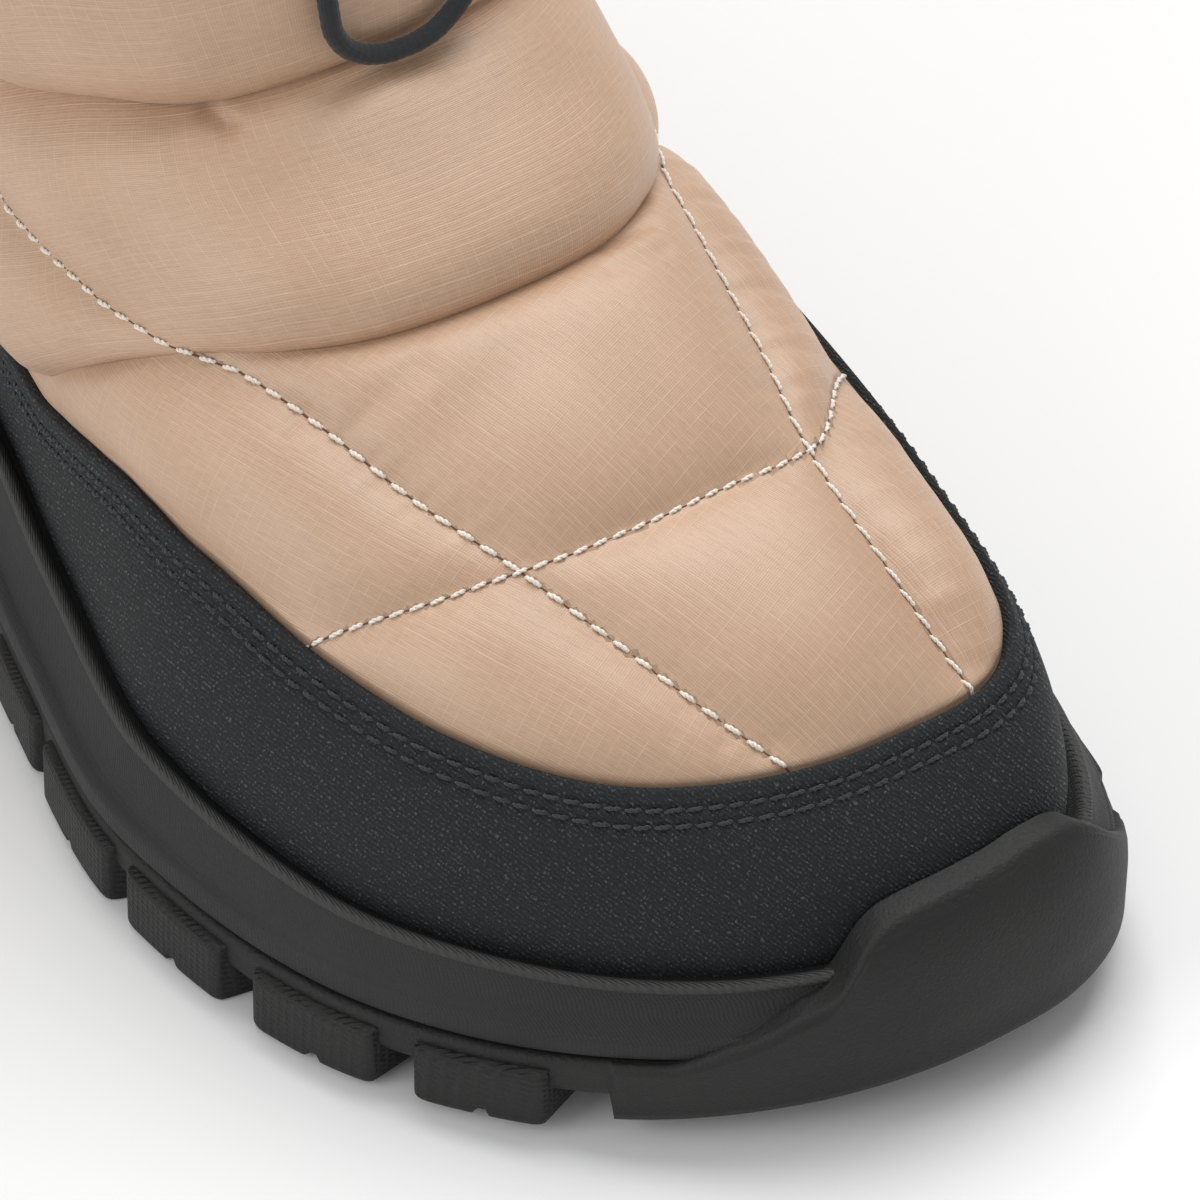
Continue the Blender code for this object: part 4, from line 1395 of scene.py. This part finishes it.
def lug_section(turn, raised, inset, lean):
    """Section of a lug under the sole's edge; lean turns its inner end towards the toe."""
    turns = turn + lean * np.array([0.0, 0.0, 0.0, 0.0, 0.0, 0.05, 0.2, 1.0, 1.0])
    line, _ = sole_line(np.array([turn]))
    x = line[:, 0]
    floor = float(smooth(SOLE, 1, x)[0]) + raised
    base = float(smooth(SOLE, 2, x)[0])
    joint = float(smooth(SOLE, 3, x)[0])
    side = float(sole_side(x)[0])
    proud = LUG_PROUD - inset
    shape = (
        (proud - 0.9, floor), (proud - 0.25, floor + 0.35), (proud, floor + 1.1),
        (proud - 0.25, joint - 2.8), (proud - 0.55, joint - 2.2), (proud - 1.2, joint - 1.9),
        (-3.0, joint - 1.6), (2.0 - LUG_DEPTH, base + 1.2), (-LUG_DEPTH, floor))
    offsets = np.array([side + row[0] for row in shape])
    heights = np.array([row[1] for row in shape])
    return wall_point(turns, heights, offsets)


def loft(sections):
    """Points and faces of a solid through closed sections with flat ends."""
    count = len(sections[0])
    last = (len(sections) - 1) * count
    faces = list(grid_faces(len(sections), count, True))
    faces.append(tuple(range(count))[::-1])
    faces.append(tuple(last + k for k in range(count)))
    return np.concatenate(sections), faces


def side_lug(first, last, lean_size):
    """A side lug between two turns with rounded ends and a notch in its lower edge."""
    line, _ = sole_line(np.array([first, last]))
    length = np.linalg.norm(line[1] - line[0])
    steps = np.array([0.0, 0.25, 0.6, 1.1, LUG_END])
    middle = length / 2
    lean = (last - first) * lean_size / length
    notch = np.array([-1.5, -1.0, -0.6, 0.6, 1.0, 1.5]) + middle
    stations = np.concatenate([steps, np.linspace(2.4, middle - 2.2, 4), notch,
                               np.linspace(middle + 2.2, length - 2.4, 4), length - steps[::-1]])
    sections = []
    for station in stations:
        end = min(station, length - station)
        inset = LUG_END_INSET * (1 - np.sqrt(1 - (1 - min(end / LUG_END, 1.0)) ** 2))
        away = abs(station - middle)
        raised = NOTCH_DEPTH * (1 - ease(away, 0.5, 1.1))
        sections.append(lug_section(first + (last - first) * station / length, raised, inset, lean))
    return loft(sections)


def end_lug(first, last, columns):
    """The block round the toe or the heel."""
    return loft([lug_section(turn, 0.0, 0.0, 0.0) for turn in np.linspace(first, last, columns)])


def chevron(x, y, half, arm):
    """A chevron lug under the middle of the sole, pointing to the toe."""
    corners = np.array([
        (x - arm, y - half), (x, y), (x - arm, y + half),
        (x, y + half), (x + arm, y), (x, y - half)])
    floor = smooth(SOLE, 1, corners[:, 0])
    base = smooth(SOLE, 2, corners[:, 0]) + 1.0
    return loft([np.column_stack([corners, floor]), np.column_stack([corners, base])])


def joined(pieces):
    """Several point and face lists as one."""
    points = []
    faces = []
    start = 0
    for piece_points, piece_faces in pieces:
        points.append(piece_points)
        faces += [tuple(start + int(k) for k in face) for face in piece_faces]
        start += len(piece_points)
    return np.concatenate(points), faces


def outward_faces(piece):
    """Turn a closed mesh's faces outward."""
    builder = bmesh.new()
    builder.from_mesh(piece.data)
    bmesh.ops.recalc_face_normals(builder, faces=builder.faces)
    builder.to_mesh(piece.data)
    builder.free()


def build_outsole(material, lug_material):
    """Lugged outsole with the toe bumper; the lugs keep a material of their own."""
    skin = make_mesh("outsole_rubber", *outsole_skin())
    pieces = [side_lug(turn_at(a, medial), turn_at(b, medial), LUG_LEAN if a > ARCH else 0.0)
              for a, b in SIDE_LUGS for medial in (False, True)]
    pieces.append(end_lug(turn_at(HEEL_BLOCK, True), turn_at(HEEL_BLOCK, False), 24))
    pieces += [chevron(*row) for row in CHEVRONS]
    lugs = make_mesh("lug_forms", *joined(pieces))
    outward_faces(skin)
    outward_faces(lugs)
    change = skin.modifiers.new("lugs", "BOOLEAN")
    change.operation = "UNION"
    change.solver = "MANIFOLD"
    change.material_mode = "INDEX"
    change.object = lugs
    for piece in (skin, lugs):
        piece.data.materials.append(material)
        piece.data.materials.append(lug_material)
    lugs.data.polygons.foreach_set("material_index", np.ones(len(lugs.data.polygons), dtype=np.int32))
    bpy.context.view_layer.update()
    result = bpy.data.meshes.new_from_object(skin.evaluated_get(bpy.context.evaluated_depsgraph_get()))
    skin.modifiers.clear()
    skin.data = result
    bpy.data.objects.remove(lugs, do_unlink=True)
    skin.data.set_sharp_from_angle(angle=np.radians(38.0))
    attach(skin, "root")
    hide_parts("outsole")


def build_insole(material):
    """Insole with a shallow dish for the foot."""
    turns = loop_turns(0.0, 200, 0.8)
    line, _ = sole_line(turns)
    rows = []
    for lift, trim in ((0.0, 0.4), (1.5, 0.1), (3.3, 0.0), (4.2, 0.3), (INSOLE_THICKNESS, 1.2)):
        z = line[:, 2] + lift
        rows.append(wall_point(turns, z, -(WALL + INSOLE_CLEARANCE + trim) * np.ones_like(z)))
    rim = rows[-1]
    for share in np.linspace(0.05, 0.95, 14):
        y = rim[:, 1] + (LEG_CENTRE_Y - rim[:, 1]) * share
        z = smooth(LEVELS, 1, rim[:, 0]) + INSOLE_THICKNESS - INSOLE_DISH * np.sin(share * np.pi / 2)
        rows.append(np.column_stack([rim[:, 0], y, z]))
    piece = make_mesh("insole_felt", *capped(rows))
    finish_piece(piece, material, "dark_felt", "insole")


def base_height(x, y):
    """Height of the seam level surface over a point of the plan."""
    low = smooth(LEVELS, 1, x) + 4.0
    high = np.full(np.shape(x), 150.0)
    for _ in range(34):
        middle = (low + high) / 2
        inside = body(x, y, middle) < 0
        low = np.where(inside, middle, low)
        high = np.where(inside, high, middle)
    return low


def seam_path(x, y):
    """Points, normals and heights above them of a quilting seam over a plan line."""
    points = np.stack([x, y, base_height(x, y)], axis=-1)
    normals = outward(points)
    z = points[:, 2]
    on_vamp = z < smooth(LEVELS, 3, x)
    height = np.where(on_vamp, vamp_form(points, normals), instep_form(points, normals))
    return points, normals, height


def stitch_run(points, normals, pitch, stitch):
    """Start and end stations of each stitch along a seam, with points and normals by station."""
    travel = travelled(points)
    starts = np.arange(0.4, travel[-1] - pitch, pitch)

    def at(station):
        return between(station, travel, points), unit(between(station, travel, normals))

    return [(start, start + stitch) for start in starts], at


def twisted_stitch(spots, ups, radius, slant):
    """Two twisted strands of one stitch that dive into the cloth at its ends."""
    ahead = unit(np.gradient(spots, axis=0))
    side = np.cross(ups, ahead)
    share = np.linspace(-1, 1, len(spots))
    arch = 1 - np.abs(share) ** 3.0
    travel = travelled(spots)
    centre = spots + ups * ((arch - 0.55) * radius * 2.2)[:, None] + side * (share * slant)[:, None]
    away = radius * 0.72 * arch ** 0.4
    pieces = []
    for strand in (0.0, np.pi):
        turn = travel * TAU / 1.5 + strand
        around = side * np.cos(turn)[:, None] + ups * np.sin(turn)[:, None]
        grid, _ = tube(centre + around * away[:, None], radius, 7)
        pieces.append(loft(grid))
    return pieces


def bridged(points, normals, shown):
    """A seam's line carried over the fold between the vamp and the instep."""
    gap = level_seam(points, normals, 2)
    above = points[:, 2] > smooth(LEVELS, 3, points[:, 0])
    lower = hang(points, normals, 2, INSTEP_HANG, HANG_REACH)
    shown = np.where(above[:, None], shown + lower, shown)
    kept = (gap < -BRIDGE_BELOW) | (gap > BRIDGE_ABOVE)
    order = np.arange(len(points))
    return between(order, order[kept], shown[kept])


def build_seams(material, hole_shade_material):
    """Cream quilting stitches along the three seams of the foot, and dark brown strips between them for the
    needle holes, mostly painted shade.
    """
    lateral_x = np.linspace(*LATERAL_SPAN, 500)
    medial_x = np.linspace(*MEDIAL_SPAN, 500)
    cross_y = np.linspace(*CROSS_SPAN, 400)
    lines = (
        (lateral_x, smooth(LONG_SEAMS, 1, lateral_x), LONG_PITCH, 2.3, THREAD_RADIUS, 0.1),
        (medial_x, smooth(LONG_SEAMS, 2, medial_x), LONG_PITCH, 2.8, THREAD_RADIUS * 0.85, 0.3),
        (smooth(CROSS_SEAM, 1, cross_y), cross_y, STITCH_PITCH, 1.9, THREAD_RADIUS * 0.9, 0.1))
    stitches = []
    holes = []
    for x, y, pitch, length, radius, slant in lines:
        points, normals, height = seam_path(x, y)
        shown = bridged(points, normals, points + normals * height[:, None])
        inside = (points[:, 2] > smooth(LEVELS, 2, x) - 2.5) & (points[:, 2] < smooth(LEVELS, 4, x) - 3.0)
        shown = shown[inside]
        normals = normals[inside]
        run, at = stitch_run(shown, normals, pitch, length)
        for start, end in run:
            spots, ups = at(np.linspace(start, end, 13))
            stitches += twisted_stitch(spots + ups * STITCH_LIFT, ups, radius, slant)
            # Painted shade: a dark brown tube between each pair of stitches stands for the needle hole and
            # the shade in it.
            spots, ups = at(np.linspace(end - HOLE_LAP, start + pitch + HOLE_LAP, 5))
            grid, _ = tube(spots - ups * HOLE_DEPTH, HOLE_RADIUS, 6)
            holes.append((grid.reshape(-1, 3), grid_faces(5, 6, True)))
    thread = make_mesh("quilting_thread", *joined(stitches))
    finish_piece(thread, material, "tan_nylon")
    hole_shade_pits = make_mesh("needle_holes_and_shade", *joined(holes))
    finish_piece(hole_shade_pits, hole_shade_material, "tan_nylon")


def build_rand_stitches(material):
    """Two rows of black stitches below the rand's top edge."""
    turns = loop_turns(0.8, 900, 0.7)
    stitches = []
    for row in RAND_STITCH_ROWS:
        levels = np.full(len(turns), 0.9)
        for _ in range(6):
            points = surface(turns, levels)
            normals = outward(points)
            below = -level_seam(points, normals, 1)
            tall = smooth(LEVELS, 2, points[:, 0]) - smooth(LEVELS, 1, points[:, 0])
            levels = levels + (below - row) / np.maximum(tall, 8.0)
        shown = points + normals * (GAP + RAND_THICKNESS - 0.22)
        shown = np.roll(shown, len(turns) // 2, axis=0)
        normals = np.roll(normals, len(turns) // 2, axis=0)
        run, at = stitch_run(shown, normals, RAND_STITCH_PITCH, 1.9)
        for start, end in run:
            spots, ups = at(np.linspace(start, end, 9))
            stitches += twisted_stitch(spots, ups, 0.19, 0.08)
    piece = make_mesh("rand_stitches", *joined(stitches))
    finish_piece(piece, material, "black_textile")


def main():
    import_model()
    add_camera()
    add_studio()
    build_cord()
    nylon = tan_nylon()
    twill = black_textile()
    build_vamp(nylon)
    build_panel("instep", 2, 3, 460, 80, instep_form, INSTEP_HANG, nylon)
    build_panel("shaft", 3, 4, 400, 70, shaft_form, SHAFT_HANG, nylon)
    line, normals = build_panel("cuff", 4, 5, 360, 60, cuff_form, CUFF_HANG, nylon)
    build_collar(line, normals, nylon)
    build_lining(plain_fibre("dark_fleece", linear(38, 36, 34), linear(66, 63, 60), 0.9, 0.5))
    build_rand(twill)
    build_midsole(grey_wall())
    build_outsole(black_rubber("grained_rubber", 0.0), black_rubber("lug_rubber", 0.5))
    build_insole(plain_fibre("dark_felt_top", linear(34, 33, 32), linear(58, 56, 54), 1.4, 0.25))
    # Dark brown of the needle holes: partly the real holes, mostly painted shade.
    brown = plain_fibre("needle_hole_shade_brown", linear(84, 52, 36), linear(112, 74, 54), 4.0, 0.03)
    build_seams(white_thread(), brown)
    build_rand_stitches(plain_fibre("black_thread", linear(20, 21, 23), linear(58, 61, 66), 5.0, 0.05))


main()
